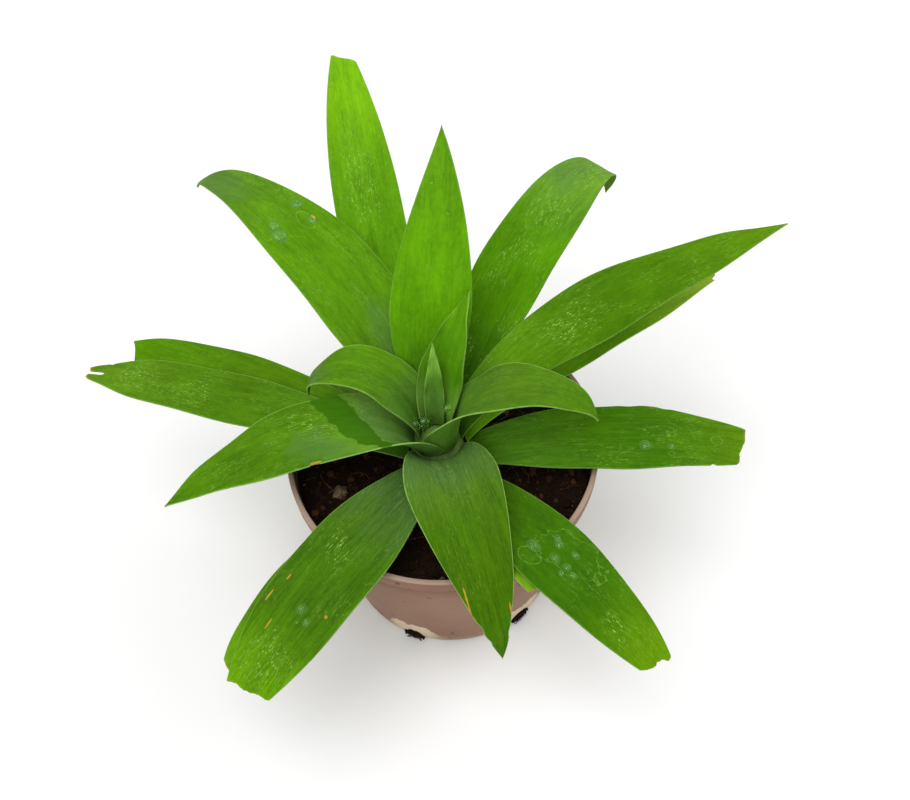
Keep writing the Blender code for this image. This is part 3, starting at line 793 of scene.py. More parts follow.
class Skin(Graph):
    """A material with its Principled shader and its output."""

    def __init__(self, name, display):
        self.material = bpy.data.materials.new(name)
        self.material.use_nodes = True
        self.material.diffuse_color = (*display, 1.0)
        self.material.node_tree.nodes.clear()
        super().__init__(self.material.node_tree)
        self.shader = self.add("ShaderNodeBsdfPrincipled")
        output = self.add("ShaderNodeOutputMaterial")
        self.feed(output.inputs["Surface"], self.shader.outputs[0])

    def finish(self, colour, rough, specular=0.5, height=None, depth=0.0, ior=1.5, clear=0.0):
        """Gives the shader its values, with a bump of this depth in metres, and returns the material."""
        self.fill(self.shader, Base_Color=colour, Roughness=rough, Specular_IOR_Level=specular,
                  IOR=ior, Transmission_Weight=clear)
        if height is not None:
            bump = self.fill(self.add("ShaderNodeBump"), Height=height, Distance=depth, Strength=1.0)
            self.feed(self.shader.inputs["Normal"], bump.outputs[0])
        return self.material


def patches(graph, table, leaf, mask):
    """One mask for each of a leaf's rows in a table of patches."""
    for row in table.get(leaf.name, ()):
        yield place_patch(graph, row)[mask]


def place_patch(graph, row):
    names = ("Across", "Along", "Half_Width", "Half_Length", "Lean", "Ragged")
    return graph.use(shared_group("patch"), **dict(zip(names, row)))


def leaf_seed(leaf):
    """Shifts the textures, so that no two leaves look alike."""
    return leaf.azimuth * 0.37 + leaf.height


def leaf_skin(graph, leaf, look, settings, shades, **changed):
    """The outputs of the skin group, with one leaf's values."""
    values = {
        "Bloom": look.bloom, "Bloom_Length": look.bloom_length, "Flecks": look.flecks * settings.wear,
        "Rubbed": 0.0, "Outlines": look.outlines * settings.wear, "Striping": look.striping,
        "Browning": look.browning, "Edge": look.edge, "Margin_Width": settings.margin_width / MM,
        "Seed": leaf_seed(leaf),
    }
    values.update(changed)
    return graph.use(
        shared_group("leaf skin"), Base=shades[0], Middle=shades[1], Tip=shades[2],
        Bloom_Colour=settings.bloom_colour, Mark_Colour=settings.mark_colour,
        Margin_Colour=settings.margin_colour, Dry_Colour=settings.dry_colour, **values)


def leaf_top_material(leaf, look, settings):
    """Upper skin of one leaf, with its own patches and scars."""
    graph = Skin(leaf.name + "_top", look.middle)
    rubbed = 0.0
    for soft in patches(graph, FLECK_PATCHES, leaf, "Soft"):
        rubbed = graph.most(rubbed, soft)
    skin = leaf_skin(graph, leaf, look, settings, (look.base, look.middle, look.tip),
                     Rubbed=graph.times(rubbed, settings.wear))
    colour, rough = skin["Color"], skin["Roughness"]
    for soft in patches(graph, GREY_PATCHES, leaf, "Soft"):
        colour = graph.mix(graph.times(soft, 0.42), colour, settings.bloom_colour)
    for inside in patches(graph, WET_PATCHES, leaf, "Inside"):
        inside = graph.times(inside, 0.85)
        wet = tuple(share * part for share, part in zip((0.5, 0.72, 0.5), look.middle))
        colour = graph.mix(inside, colour, wet)
        rough = graph.line(inside, -0.08, rough)
    for outline in patches(graph, WATER_MARKS, leaf, "Outline"):
        colour = graph.mix(graph.times(outline, 0.6 * settings.wear), colour, settings.mark_colour)
    # Painted sheen: a greyish tint on the skin under each larger drop stands in for the light that the
    # drop reflects.
    for drop_leaf, share, side, radius in DROPS:
        if drop_leaf == leaf.name and radius > SMALL_DROP:
            place = (side * half_width(leaf, share), share * Blade(leaf, 0.0).length)
            drop_sheen = place_patch(graph, (*place, 1.1 * radius, 1.5 * radius, 0.0, 0.5))["Inside"]
            colour = graph.mix(graph.times(drop_sheen, 0.4), colour, settings.bloom_colour)
    for row in SCARS.get(leaf.name, ()):
        colour = graph.mix(place_patch(graph, row)["Outline"], colour, seen(96, 84, 22))
        colour = graph.mix(place_patch(graph, row)["Inside"], colour, settings.dry_colour)
    return graph.finish(colour, rough, 0.02, skin["Height"], settings.vein_depth)


def leaf_under_material(leaf, look, settings):
    """Paler, greyer and duller underside of one leaf."""
    under = [tuple(0.75 * part + 0.25 * grey for part, grey in zip(side, settings.bloom_colour))
             for side in (look.base, look.middle, look.tip)]
    graph = Skin(leaf.name + "_under", under[1])
    skin = leaf_skin(
        graph, leaf, look, settings, under, Bloom=min(1.0, look.bloom + 0.2),
        Bloom_Length=look.bloom_length * 1.3, Flecks=0.3 * look.flecks * settings.wear, Outlines=0.0,
        Seed=leaf_seed(leaf) + 50.0)
    return graph.finish(skin["Color"], graph.plus(skin["Roughness"], 0.08), 0.02,
                        skin["Height"], settings.vein_depth)


def leaf_margin_material(settings):
    """Pale, slightly horny margin, which is dry and brown along a cut end."""
    graph = Skin("leaf_margin", settings.margin_colour)
    across, along, _ = graph.attribute("blade")
    _, end, _ = graph.attribute("edge")
    uneven = graph.noise(graph.place(across, along, 3.0, 1.5, 3.0), detail=3.0)
    colour = graph.mix(graph.smooth(uneven, 0.35, 0.65, 0.75, 1.0), settings.margin_colour,
                       seen(84, 132, 24))
    dry = graph.times(graph.smooth(end, 0.6, 0.1), graph.smooth(uneven, 0.3, 0.6, 0.0, 0.5))
    colour = graph.mix(dry, colour, settings.dry_colour)
    return graph.finish(colour, graph.line(uneven, 0.3, 0.35), 0.08, uneven, 0.0001)


def stem_material(settings):
    graph = Skin("stem_skin", settings.colour)
    place, parts = graph.millimetres()
    scaled = graph.add("ShaderNodeMapping")
    graph.feed(scaled.inputs["Vector"], place)
    scaled.inputs["Scale"].default_value = (0.9, 0.9, 0.12)
    streaks = graph.noise(scaled.outputs[0], scale=1.0, detail=4.0, roughness=0.6)
    colour = graph.mix(streaks, srgb(60, 92, 26), settings.colour)
    low = graph.smooth(parts[2], 84.0, 78.0)
    colour = graph.mix(graph.times(low, 0.7), colour, srgb(70, 58, 34))
    return graph.finish(colour, graph.line(streaks, 0.3, 0.35), 0.5, streaks, 0.0003)


def soil_material(settings, name="soil_earth"):
    """Moist, dark potting soil with drier grains."""
    graph = Skin(name, settings.dark_colour)
    place, _ = graph.millimetres()
    clods = graph.noise(place, scale=0.28, detail=5.0, roughness=0.65)
    grains = graph.noise(place, scale=1.7, detail=4.0, roughness=0.7)
    specks = graph.use(shared_group("grit"), Size=1.1, Amount=0.16, Seed=4.0)["Specks"]
    dryness = graph.times(graph.smooth(clods, 0.45, 0.72), graph.smooth(grains, 0.42, 0.68))
    colour = graph.mix(graph.times(dryness, 0.55), settings.dark_colour, settings.light_colour)
    colour = graph.mix(graph.times(specks, 0.45), colour, settings.light_colour)
    height = graph.line(grains, 0.6, clods)
    return graph.finish(colour, graph.line(grains, -0.35, 0.95), 0.06,
                        graph.line(specks, 0.3, height), 0.0009)


def crumb_material(settings):
    """Loose crumbs, each with its own shade from nearly black to dry brown."""
    graph = Skin("soil_crumbs", settings.light_colour)
    chance, _, _ = graph.attribute("crumb")
    place, _ = graph.millimetres()
    grains = graph.noise(place, scale=1.9, detail=5.0, roughness=0.7)
    colour = graph.mix(graph.smooth(chance, 0.35, 1.0), settings.dark_colour, settings.light_colour)
    pale = graph.times(graph.smooth(chance, 0.965, 0.975), graph.smooth(grains, 0.3, 0.6))
    colour = graph.mix(pale, colour, srgb(140, 118, 84))
    colour = graph.mix(graph.smooth(grains, 0.7, 0.35, 0.0, 0.6), colour, settings.dark_colour)
    return graph.finish(colour, graph.line(grains, -0.25, 0.95), 0.08, grains, 0.0006)


def fibre_material(settings):
    """Dry plant fibres and roots."""
    graph = Skin("soil_fibres", settings.fibre_colour)
    place, _ = graph.millimetres()
    chance, _, _ = graph.attribute("crumb")
    streaks = graph.noise(place, scale=0.8, detail=3.0)
    colour = graph.mix(graph.smooth(chance, 0.1, 0.9), srgb(46, 32, 20), settings.fibre_colour)
    colour = graph.mix(graph.smooth(streaks, 0.55, 0.35, 0.0, 0.7), colour, settings.dark_colour)
    return graph.finish(colour, graph.line(streaks, 0.3, 0.55), 0.1, streaks, 0.0003)


def granule_material():
    """A pale brown pebble with darker veins."""
    graph = Skin("soil_granule", srgb(110, 88, 62))
    place, _ = graph.millimetres()
    clouds = graph.noise(place, scale=0.55, detail=5.0, roughness=0.6, distortion=0.8)
    colour = graph.mix(graph.smooth(clouds, 0.35, 0.65), srgb(58, 42, 26), srgb(122, 98, 70))
    return graph.finish(colour, graph.line(clouds, 0.3, 0.45), 0.5, clouds, 0.0008)


def pot_material(settings):
    """Satin taupe plastic: cream foot and notch edges, a paler rim, soil grains, painted shade inside
    above the soil.
    """
    graph = Skin("pot_plastic", settings.colour)
    place, parts = graph.millimetres()
    clouds = graph.noise(place, scale=0.03, detail=2.0, roughness=0.5)
    fine = graph.noise(place, scale=1.3, detail=4.0, roughness=0.7)
    ragged = graph.noise(place, scale=0.32, detail=5.0, roughness=0.65)
    # Taupe clouds, whose colours carry painted shade and a painted warm reflected light.
    colour = graph.mix(graph.smooth(clouds, 0.3, 0.7), settings.shade_colour, settings.colour)
    rubbed = graph.add("ShaderNodeMapping")
    graph.feed(rubbed.inputs["Vector"], place)
    rubbed.inputs["Scale"].default_value = (0.05, 0.05, 1.5)
    scratches = graph.noise(rubbed.outputs[0], detail=4.0, roughness=0.7)
    scratches = graph.smooth(scratches, 0.60, 0.75, 0.0, 0.06)
    colour = graph.mix(scratches, colour, settings.cream_colour)

    # Cream on the foot, reaching higher and stronger round the notches, with a ragged upper edge.
    turn = graph.maths("ARCTAN2", parts[1], parts[0])
    turn = graph.less(turn, math.radians(FIRST_NOTCH_AZIMUTH - 180.0 / NOTCHES))
    part = graph.maths("FRACT", graph.line(turn, NOTCHES / (2 * math.pi), 6.0))
    away = graph.apart(part, 0.5)
    away = graph.times(away, 2 * math.pi * FOOT_RADIUS / NOTCHES)
    near = graph.smooth(away, 13.0, 5.5)
    reach = graph.times(graph.line(near, 1.1, 0.5), settings.cream_height / MM)
    height = graph.sway(ragged, -16.0, parts[2])
    foot_cream = graph.smooth(graph.less(height, reach), 0.9, -0.4)
    strength = graph.times(foot_cream, graph.line(near, 0.55, 0.30))
    colour = graph.mix(strength, colour, settings.cream_colour)
    stain = graph.times(graph.smooth(fine, 0.55, 0.7), graph.smooth(parts[2], 9.0, 2.0))
    colour = graph.mix(graph.times(stain, 0.55), colour, srgb(88, 66, 50))

    rim = graph.smooth(parts[2], POT_HEIGHT - 0.9, POT_HEIGHT - 0.2)
    colour = graph.mix(graph.times(rim, 0.4), colour, srgb(190, 176, 160))
    specks = graph.use(shared_group("grit"), Size=3.4, Amount=0.035, Seed=9.0)["Specks"]
    colour = graph.mix(graph.times(specks, 0.8), colour, srgb(72, 50, 38))
    # Painted shade: the inner wall just above the soil is darkened in ragged patches.
    inner = graph.far(parts[0], parts[1])
    slope = wall_radius(1.0) - wall_radius(0.0)
    middle = graph.line(parts[2], slope, FOOT_RADIUS - WALL / 2)
    inner = graph.smooth(graph.less(inner, middle), 0.3, -0.3)
    inner_wall_shade = graph.times(graph.times(inner, graph.smooth(parts[2], 84.0, 79.0)),
                         graph.smooth(ragged, 0.35, 0.6))
    colour = graph.mix(graph.times(inner_wall_shade, 0.7), colour, srgb(50, 36, 26))
    rough = graph.line(fine, 0.06, 0.40)
    rough = graph.line(foot_cream, 0.25, rough)
    relief = graph.line(foot_cream, 0.4, graph.times(fine, 0.03))
    return graph.finish(colour, rough, 0.1, graph.line(specks, 0.6, relief), 0.00025)


def water_material():
    """Clear water. Its surface is barely uneven."""
    graph = Skin("water", (0.9, 0.95, 0.95))
    place, _ = graph.millimetres()
    ripple = graph.noise(place, scale=0.5, detail=1.0)
    return graph.finish((0.78, 0.93, 0.70), 0.03, height=ripple, depth=0.0001, ior=1.33, clear=1.0)


def floor_material(settings):
    graph = Skin("floor_matt", settings.floor_colour)
    place, _ = graph.millimetres()
    soft = graph.noise(place, scale=0.01, detail=2.0)
    colour = settings.floor_colour
    return graph.finish(graph.mix(soft, colour, tuple(0.985 * part for part in colour)), 0.9, 0.04)


def new_object(name, data):
    piece = bpy.data.objects.new(name, data)
    bpy.context.scene.collection.objects.link(piece)
    return piece


def add_piece(name, mesh, materials=()):
    """Puts a piece in the scene, riding on the plant's one body."""
    piece = new_object(name, mesh)
    for material in materials:
        mesh.materials.append(material)
    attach(piece, "root")
    return piece


def add_soil(name, bm, material, smooth_below=GRAIN_SMOOTH):
    return add_piece(name, mesh_from(bm, name, smooth_below), (material,))


def mesh_from(bm, name, smooth_below=35.0, outwards=True):
    """Turns a bmesh in millimetres into a mesh in metres, smooth where it bends gently."""
    bmesh.ops.scale(bm, verts=bm.verts, vec=(MM, MM, MM))
    if outwards:
        bmesh.ops.recalc_face_normals(bm, faces=bm.faces)
    mesh = bpy.data.meshes.new(name)
    bm.to_mesh(mesh)
    bm.free()
    mesh.shade_smooth()
    mesh.set_sharp_from_angle(angle=math.radians(smooth_below))
    return mesh


def applied(piece, name, smooth_below=40.0):
    """The mesh of a helper object with its modifiers applied. The helper is removed."""
    bpy.context.view_layer.update()
    depsgraph = bpy.context.evaluated_depsgraph_get()
    mesh = bpy.data.meshes.new_from_object(piece.evaluated_get(depsgraph))
    mesh.name = name
    mesh.shade_smooth()
    mesh.set_sharp_from_angle(angle=math.radians(smooth_below))
    bpy.data.objects.remove(piece, do_unlink=True)
    return mesh


def turned(profile, sides):
    """Spins (radius, height) points about the Z axis. Points on the axis become one vertex."""
    bm = bmesh.new()
    points = [bm.verts.new((radius, 0.0, height)) for radius, height in profile]
    edges = [bm.edges.new(pair) for pair in zip(points, points[1:])]
    bmesh.ops.spin(bm, geom=points + edges, cent=(0, 0, 0), axis=(0, 0, 1),
                   angle=2 * math.pi, steps=sides, use_merge=True)
    bmesh.ops.remove_doubles(bm, verts=bm.verts, dist=1e-4)
    return bm


def eased(value, low, high):
    """Rises softly from 0 at low to 1 at high."""
    share = min(max((value - low) / (high - low), 0.0), 1.0)
    return share * share * (3 - 2 * share)


def stem_radius(height):
    for (low_r, low_z), (high_r, high_z) in zip(STEM_PROFILE, STEM_PROFILE[1:]):
        if height <= high_z:
            return low_r + (high_r - low_r) * (height - low_z) / (high_z - low_z)
    return STEM_PROFILE[-1][0]


def sloped(heading, slope):
    """Unit vector at a heading and a slope, both in degrees."""
    turn, tilt = math.radians(heading), math.radians(slope)
    return Vector((math.cos(tilt) * math.cos(turn), math.cos(tilt) * math.sin(turn), math.sin(tilt)))


def half_width(leaf, share):
    if share < leaf.widest:
        swell = math.sin(share / leaf.widest * math.pi / 2) ** SWELL_POWER
        width = leaf.base_share + (1 - leaf.base_share) * swell
    else:
        width = 1 - ((share - leaf.widest) / (1 - leaf.widest)) ** leaf.taper
    narrowest = TORN_TIP_HALF_WIDTH if leaf.name in SLITS else TIP_HALF_WIDTH
    return ((leaf.width / 2 * max(width, 0.0)) ** 4 + narrowest**4) ** 0.25


class Blade:
    """One leaf's middle surface, in the plant's own millimetres."""

    def __init__(self, leaf, buckles):
        self.leaf = leaf
        self.look = LOOKS[leaf.name]
        self.buckles = buckles
        self.turn = Matrix.Rotation(math.radians(leaf.azimuth), 3, "Z")
        base = Vector((stem_radius(leaf.height) + CLASP_GAP + BLADE_THICKNESS / 2, 0.0, leaf.height))
        swing = math.radians(leaf.tip_azimuth - leaf.azimuth)
        tip = Vector((leaf.tip_reach * math.cos(swing), leaf.tip_reach * math.sin(swing),
                      leaf.tip_height))
        chord = (tip - base).length
        knee = base + sloped(0.0, leaf.rise) * chord * leaf.pull_base
        hook = tip - sloped(leaf.heading - leaf.azimuth, leaf.fall) * chord * leaf.pull_tip
        self.points = []
        for step in range(SPINE_STEPS + 1):
            t = step / SPINE_STEPS
            s = 1 - t
            self.points.append(base * s**3 + knee * 3 * s * s * t + hook * 3 * s * t * t + tip * t**3)
        lengths = [0.0]
        for before, after in zip(self.points, self.points[1:]):
            lengths.append(lengths[-1] + (after - before).length)
        self.length = lengths[-1]
        self.shares = [length / self.length for length in lengths]

    def spot(self, share):
        """The spine's point at a share of the leaf's length."""
        index = bisect.bisect_left(self.shares, share, 1, len(self.shares) - 1)
        before = self.shares[index - 1]
        part = (share - before) / (self.shares[index] - before)
        return self.points[index - 1].lerp(self.points[index], part)

    def relief(self, share, side):
        """Low swellings and lengthwise folds of the real skin, in millimetres."""
        across = side * half_width(self.leaf, share)
        along = share * self.length
        fade = eased(share, 0.0, RELIEF_FADE_IN) * eased(1 - share, 0.0, RELIEF_FADE_OUT)
        buckle = noise.noise(Vector((across / BUCKLE_ACROSS, along / BUCKLE_ALONG, self.leaf.azimuth)))
        place = Vector((across / WANDER_ACROSS, along / PLEAT_WANDER, self.leaf.azimuth + 3))
        fold = math.sin(2 * math.pi * across / PLEAT_WIDTH + 4 * noise.noise(place))
        fold *= self.look.pleats * math.exp(-((along / PLEAT_REACH) ** 2)) * (1 - side * side)
        return fade * (self.buckles * buckle + fold)

    def point(self, share, side):
        """A point of the middle surface. side runs from -1 to 1, and 1 is left of the heading."""
        leaf = self.leaf
        before = self.spot(max(share - TANGENT_STEP, 0.0))
        after = self.spot(min(share + TANGENT_STEP, 1.0))
        tangent = (after - before).normalized()
        turn = math.radians((leaf.heading - leaf.azimuth) * share)
        level = Vector((-math.sin(turn), math.cos(turn), 0.0))
        across = (level - tangent * level.dot(tangent)).normalized()
        up = tangent.cross(across)
        clasp = leaf.width * leaf.base_share / self.points[0].x / 2
        cup = math.radians(leaf.cup) / 2
        arc = cup + (clasp - cup) * math.exp(-((share / CLASP_LENGTH) ** 2))
        radius = half_width(leaf, share) / arc
        lift = radius * (1 - math.cos(side * arc))
        fade_in = min(max((share - WAVE_START) / WAVE_FADE_IN, 0.0), 1.0)
        fade = fade_in * min(max((1 - share) / WAVE_FADE_OUT, 0.0), 1.0)
        phase = math.radians(leaf.azimuth) * WAVE_TURN + (MARGIN_SHIFT if side > 0 else 0.0)
        lift += WAVE_HEIGHT * fade * side * side * math.sin(2 * math.pi * WAVES * share + phase)
        lift += self.relief(share, side)
        place = self.spot(share) + across * radius * math.sin(side * arc) + up * lift
        return self.turn @ place + PLANT_OFFSET

    def facing(self, share, side):
        """Direction in which the upper skin faces."""
        ahead = self.point(min(share + FACING_STEP, 1.0), side)
        ahead -= self.point(max(share - FACING_STEP, 0.0), side)
        aside = self.point(share, min(side + FACING_TURN, 1.0))
        aside -= self.point(share, max(side - FACING_TURN, -1.0))
        return ahead.cross(aside).normalized()

    def end(self, side):
        """Share of the length at which the blade stops at this place across it."""
        leaf = self.leaf
        if leaf.cut == 1.0:
            return 1.0
        rough = RAGGED * self.look.ragged * math.sin(RAGGED_WAVES * side + leaf.azimuth)
        fine = noise.noise(Vector((side * 4.0, leaf.azimuth, 0.5)))
        fine += 0.5 * noise.noise(Vector((side * 11.0, leaf.azimuth, 7.5)))
        fine *= self.look.ragged / self.length
        corner = END_CORNER / self.length * abs(side) ** 12
        return leaf.cut * (1 + leaf.slant * side) + rough + fine - corner

    def bitten(self, share, side):
        """The place across, moved inwards where the margin is nibbled."""
        for at, which, reach, depth in NIBBLES.get(self.leaf.name, ()):
            off = (share - at) * self.length / reach
            if side * which > 0 and abs(off) < 1:
                side *= 1 - depth * (1 - off * off) ** 1.5 / half_width(self.leaf, share)
        return side


def blade_mesh(blade):
    """A sheet of the blade's fine grid, thickened so that it thins out towards its margins."""
    leaf = blade.leaf
    bm = bmesh.new()
    place_layer = bm.verts.layers.float_vector.new("blade")
    edge_layer = bm.verts.layers.float_vector.new("edge")
    weight_layer = bm.verts.layers.deform.verify()
    slit = SLITS.get(leaf.name, 2.0)
    middle = BLADE_COLUMNS // 2

    def add_vert(share, side, end, margin=None):
        eaten = blade.bitten(share, side)
        vert = bm.verts.new(blade.point(share, eaten))
        wide = half_width(leaf, share)
        vert[place_layer] = (eaten * wide, share * blade.length, share)
        beside = (1 - abs(side)) * wide if margin is None else margin
        vert[edge_layer] = (beside, (end - share) * blade.length, side)
        vert[weight_layer][0] = max(0.0, 1 - side * side) if margin is None else SLIT_WEIGHT
        return vert

    rows = []
    for row in range(BLADE_ROWS + 1):
        way = 1 - (1 - row / BLADE_ROWS) ** ROW_CROWDING
        line = []
        for column in range(BLADE_COLUMNS + 1):
            side = 2 * column / BLADE_COLUMNS - 1
            end = blade.end(side)
            if leaf.name in SLITS:
                lobes = TORN_LOBES * abs(2 * abs(side) - 1)
                end += (1.0 - TORN_ROUND * side**4 - lobes) / blade.length + TORN_STRETCH
            share = end * way
            gap = 0.0
            if share > slit:
                open_share = min(1.0, (share - slit) * blade.length / SLIT_START)
                gap = SLIT_GAP / 2 * open_share / half_width(leaf, share)
            if column == middle and gap > 0:
                line.append((add_vert(share, -gap, end, 0.0), add_vert(share, gap, end, 0.0)))
            else:
                vert = add_vert(share, math.copysign(gap + (1 - gap) * abs(side), side), end)
                line.append((vert, vert))
        rows.append(line)
    for near, far in zip(rows, rows[1:]):
        for column in range(BLADE_COLUMNS):
            bm.faces.new((near[column][1], far[column][1], far[column + 1][0], near[column + 1][0]))
    bmesh.ops.scale(bm, verts=bm.verts, vec=(MM, MM, MM))
    mesh = bpy.data.meshes.new(leaf.name)
    bm.to_mesh(mesh)
    bm.free()
    sheet = new_object(leaf.name + "_sheet", mesh)
    sheet.vertex_groups.new(name="thickness")
    solid = sheet.modifiers.new("thickness", "SOLIDIFY")
    solid.thickness = BLADE_THICKNESS * MM
    solid.offset = 0.0
    solid.use_even_offset = False
    solid.vertex_group = "thickness"
    solid.thickness_vertex_group = EDGE_THICKNESS / BLADE_THICKNESS
    solid.material_offset = 1
    solid.material_offset_rim = 2
    for _ in ("top", "under", "margin"):
        mesh.materials.append(None)
    fine = applied(sheet, leaf.name)
    fine.materials.clear()
    return fine


class AGAVE_OT_grow_leaves(Operator):
    """Grow every fine leaf blade over its plain solid"""
    bl_idname = "agave.grow_leaves"
    bl_label = "Grow Leaves"

    def execute(self, context):
        settings = context.scene.agave_leaves
        margin = leaf_margin_material(settings)
        for leaf in LEAVES:
            if leaf.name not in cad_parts:
                raise RuntimeError("the frame has no node for " + leaf.name)
            look = LOOKS[leaf.name]
            mesh = blade_mesh(Blade(leaf, settings.buckle_height / MM))
            skins = (leaf_top_material(leaf, look, settings),
                     leaf_under_material(leaf, look, settings), margin)
            piece = add_piece(leaf.name.replace("leaf", "blade", 1), mesh, skins)
            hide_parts(leaf.name)
        return {"FINISHED"}


class AGAVE_OT_turn_stem(Operator):
    """Make the short stem between the leaf bases"""
    bl_idname = "agave.turn_stem"
    bl_label = "Turn Stem"

    def execute(self, context):
        settings = context.scene.agave_stem
        profile = [(0.0, STEM_PROFILE[0][1])]
        for (low_r, low_z), (high_r, high_z) in zip(STEM_PROFILE, STEM_PROFILE[1:]):
            steps = max(1, round((high_z - low_z) / STEM_STEP))
            profile += [(low_r + (high_r - low_r) * step / steps, low_z + (high_z - low_z) * step / steps)
                        for step in range(steps)]
        profile += [STEM_PROFILE[-1], (0.0, STEM_PROFILE[-1][1] + STEM_TIP)]
        bm = turned(profile, settings.sides)
        for vert in bm.verts:
            away = Vector((vert.co.x, vert.co.y, 0.0))
            if away.length > 1.0:
                vert.co -= away.normalized() * STEM_DENT * (1 + noise.noise(vert.co * 0.6))
            vert.co += PLANT_OFFSET
        piece = add_piece("stem_core", mesh_from(bm, "stem_core"), (stem_material(settings),))
        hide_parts("stem")
        return {"FINISHED"}


def wall_radius(height):
    """Outer radius of the pot's wall, below its band."""
    top = RIM_RADIUS - BAND_STEP
    return FOOT_RADIUS + (top - FOOT_RADIUS) * height / (POT_HEIGHT - BAND_HEIGHT)


def corner(centre, radius, start, stop, steps=6):
    """Points of a rounded corner in a profile, with angles in degrees."""
    turns = [math.radians(start + (stop - start) * step / steps) for step in range(steps + 1)]
    return [(centre[0] + radius * math.cos(turn), centre[1] + radius * math.sin(turn)) for turn in turns]


def pot_profile():
    """(radius, height) points up the outside and down the inside. The small numbers round its corners."""
    band_foot = POT_HEIGHT - BAND_HEIGHT
    inner_rim = RIM_RADIUS - RIM_THICKNESS
    ring = band_foot - RING_DROP
    profile = [
        (0.0, 0.0),
        (FOOT_RADIUS - FOOT_CHAMFER - 0.5, 0.0),
        (FOOT_RADIUS - FOOT_CHAMFER, 0.1),
        (FOOT_RADIUS - FOOT_ROUND - 0.1, FOOT_ROUND - 0.05),
        (FOOT_RADIUS - FOOT_ROUND + 0.3, FOOT_ROUND + 0.4),
        (wall_radius(FOOT_CHAMFER), FOOT_CHAMFER),
    ]
    for step in range(1, POT_WALL_STEPS):
        height = FOOT_CHAMFER + (ring - RING_HALF_HEIGHT - FOOT_CHAMFER) * step / POT_WALL_STEPS
        profile.append((wall_radius(height), height))
    for offset, depth in ((-1.0, 0.0), (-0.5, 0.7), (0.0, 1.0), (0.5, 0.7), (1.0, 0.0)):
        height = ring + offset * RING_HALF_HEIGHT
        profile.append((wall_radius(height) - depth * RING_DEPTH, height))
    profile += [
        (wall_radius(band_foot - 0.1), band_foot - 0.1),
        (wall_radius(band_foot) + 0.25, band_foot),
        (RIM_RADIUS - BAND_DRAFT - 0.15, band_foot + 0.05),
        (RIM_RADIUS - BAND_DRAFT, band_foot + BAND_ROUND),
        (RIM_RADIUS - BAND_DRAFT / 2, band_foot + BAND_HEIGHT / 2),
    ]
    profile += corner((RIM_RADIUS - RIM_ROUND, POT_HEIGHT - RIM_ROUND), RIM_ROUND, 0, 90)
    profile += corner((inner_rim + RIM_ROUND, POT_HEIGHT - RIM_ROUND), RIM_ROUND, 90, 180)
    profile += [
        (wall_radius(band_foot) - WALL, band_foot - INSIDE_STEP),
        (wall_radius(FLOOR) - WALL, FLOOR),
        (0.0, FLOOR),
    ]
    return profile


def arch_outline(bottom, inset):
    """An arch seen from outside: straight sides below a half ellipse, inset from the notch."""
    reach = NOTCH_WIDTH / 2 - inset
    rise = NOTCH_HEIGHT - NOTCH_SPRING - inset
    outline = [(-reach, bottom)]
    for step in range(NOTCH_ARCH_STEPS + 1):
        turn = math.pi * (1 - step / NOTCH_ARCH_STEPS)
        outline.append((math.cos(turn) * reach, NOTCH_SPRING + math.sin(turn) * rise))
    outline.append((reach, bottom))
    return outline


def notch_directions():
    """Outward and sideways directions at each drain notch."""
    for index in range(NOTCHES):
        out = sloped(FIRST_NOTCH_AZIMUTH + index * 360 / NOTCHES, 0.0)
        yield index, out, Vector((-out.y, out.x, 0.0))


class AGAVE_OT_mould_pot(Operator):
    """Mould the thin nursery pot with its drain notches"""
    bl_idname = "agave.mould_pot"
    bl_label = "Mould Pot"

    def execute(self, context):
        cutters = bmesh.new()
        for _, out, side in notch_directions():
            outline = [out * NOTCH_INNER_RADIUS + side * x + UP * z
                       for x, z in arch_outline(-CUTTER_OVERSHOOT, 0.0)]
            face = cutters.faces.new([cutters.verts.new(point) for point in outline])
            grown = bmesh.ops.extrude_face_region(cutters, geom=[face])
            moved = [item for item in grown["geom"] if isinstance(item, bmesh.types.BMVert)]
            bmesh.ops.translate(cutters, verts=moved,
                                vec=out * (NOTCH_OUTER_RADIUS - NOTCH_INNER_RADIUS))
        cutter = new_object("notch_cutter", mesh_from(cutters, "notch_cutter"))
        tub = new_object("pot_tub", mesh_from(turned(pot_profile(), POT_SIDES), "pot_tub"))
        cut = tub.modifiers.new("notches", "BOOLEAN")
        cut.object = cutter
        cut.operation = "DIFFERENCE"
        cut.solver = "EXACT"
        mesh = applied(tub, "pot_shell", POT_SMOOTH)
        bpy.data.objects.remove(cutter, do_unlink=True)
        if len(mesh.polygons) < FEWEST_POT_FACES:
            raise RuntimeError("the pot lost its wall when its notches were cut")
        mesh.materials.clear()
        piece = add_piece("pot_shell", mesh, (pot_material(context.scene.agave_pot),))
        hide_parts("pot")
        return {"FINISHED"}


def inside_radius(height):
    """Radius of the soil's side, which stands a little off the pot's wall."""
    return wall_radius(height) - WALL - SEAT_GAP


def soil_profile():
    """From the hole's floor outwards over the top and down the wall to the bottom."""
    hole = stem_radius(SOIL_MIDDLE_HEIGHT) + SEAT_GAP
    edge = inside_radius(SOIL_EDGE_HEIGHT)
    foot = inside_radius(FLOOR)
    hole_floor = STEM_PROFILE[0][1] - SEAT_GAP
    profile = [(0.0, hole_floor), (hole, hole_floor)]
    for ring in range(SOIL_RINGS + 1):
        share = ring / SOIL_RINGS
        height = SOIL_MIDDLE_HEIGHT + (SOIL_EDGE_HEIGHT - SOIL_MIDDLE_HEIGHT) * share
        profile.append((hole + (edge - hole) * share, height))
    profile += [(foot, FLOOR + SEAT_GAP), (0.0, FLOOR + SEAT_GAP)]
    return profile


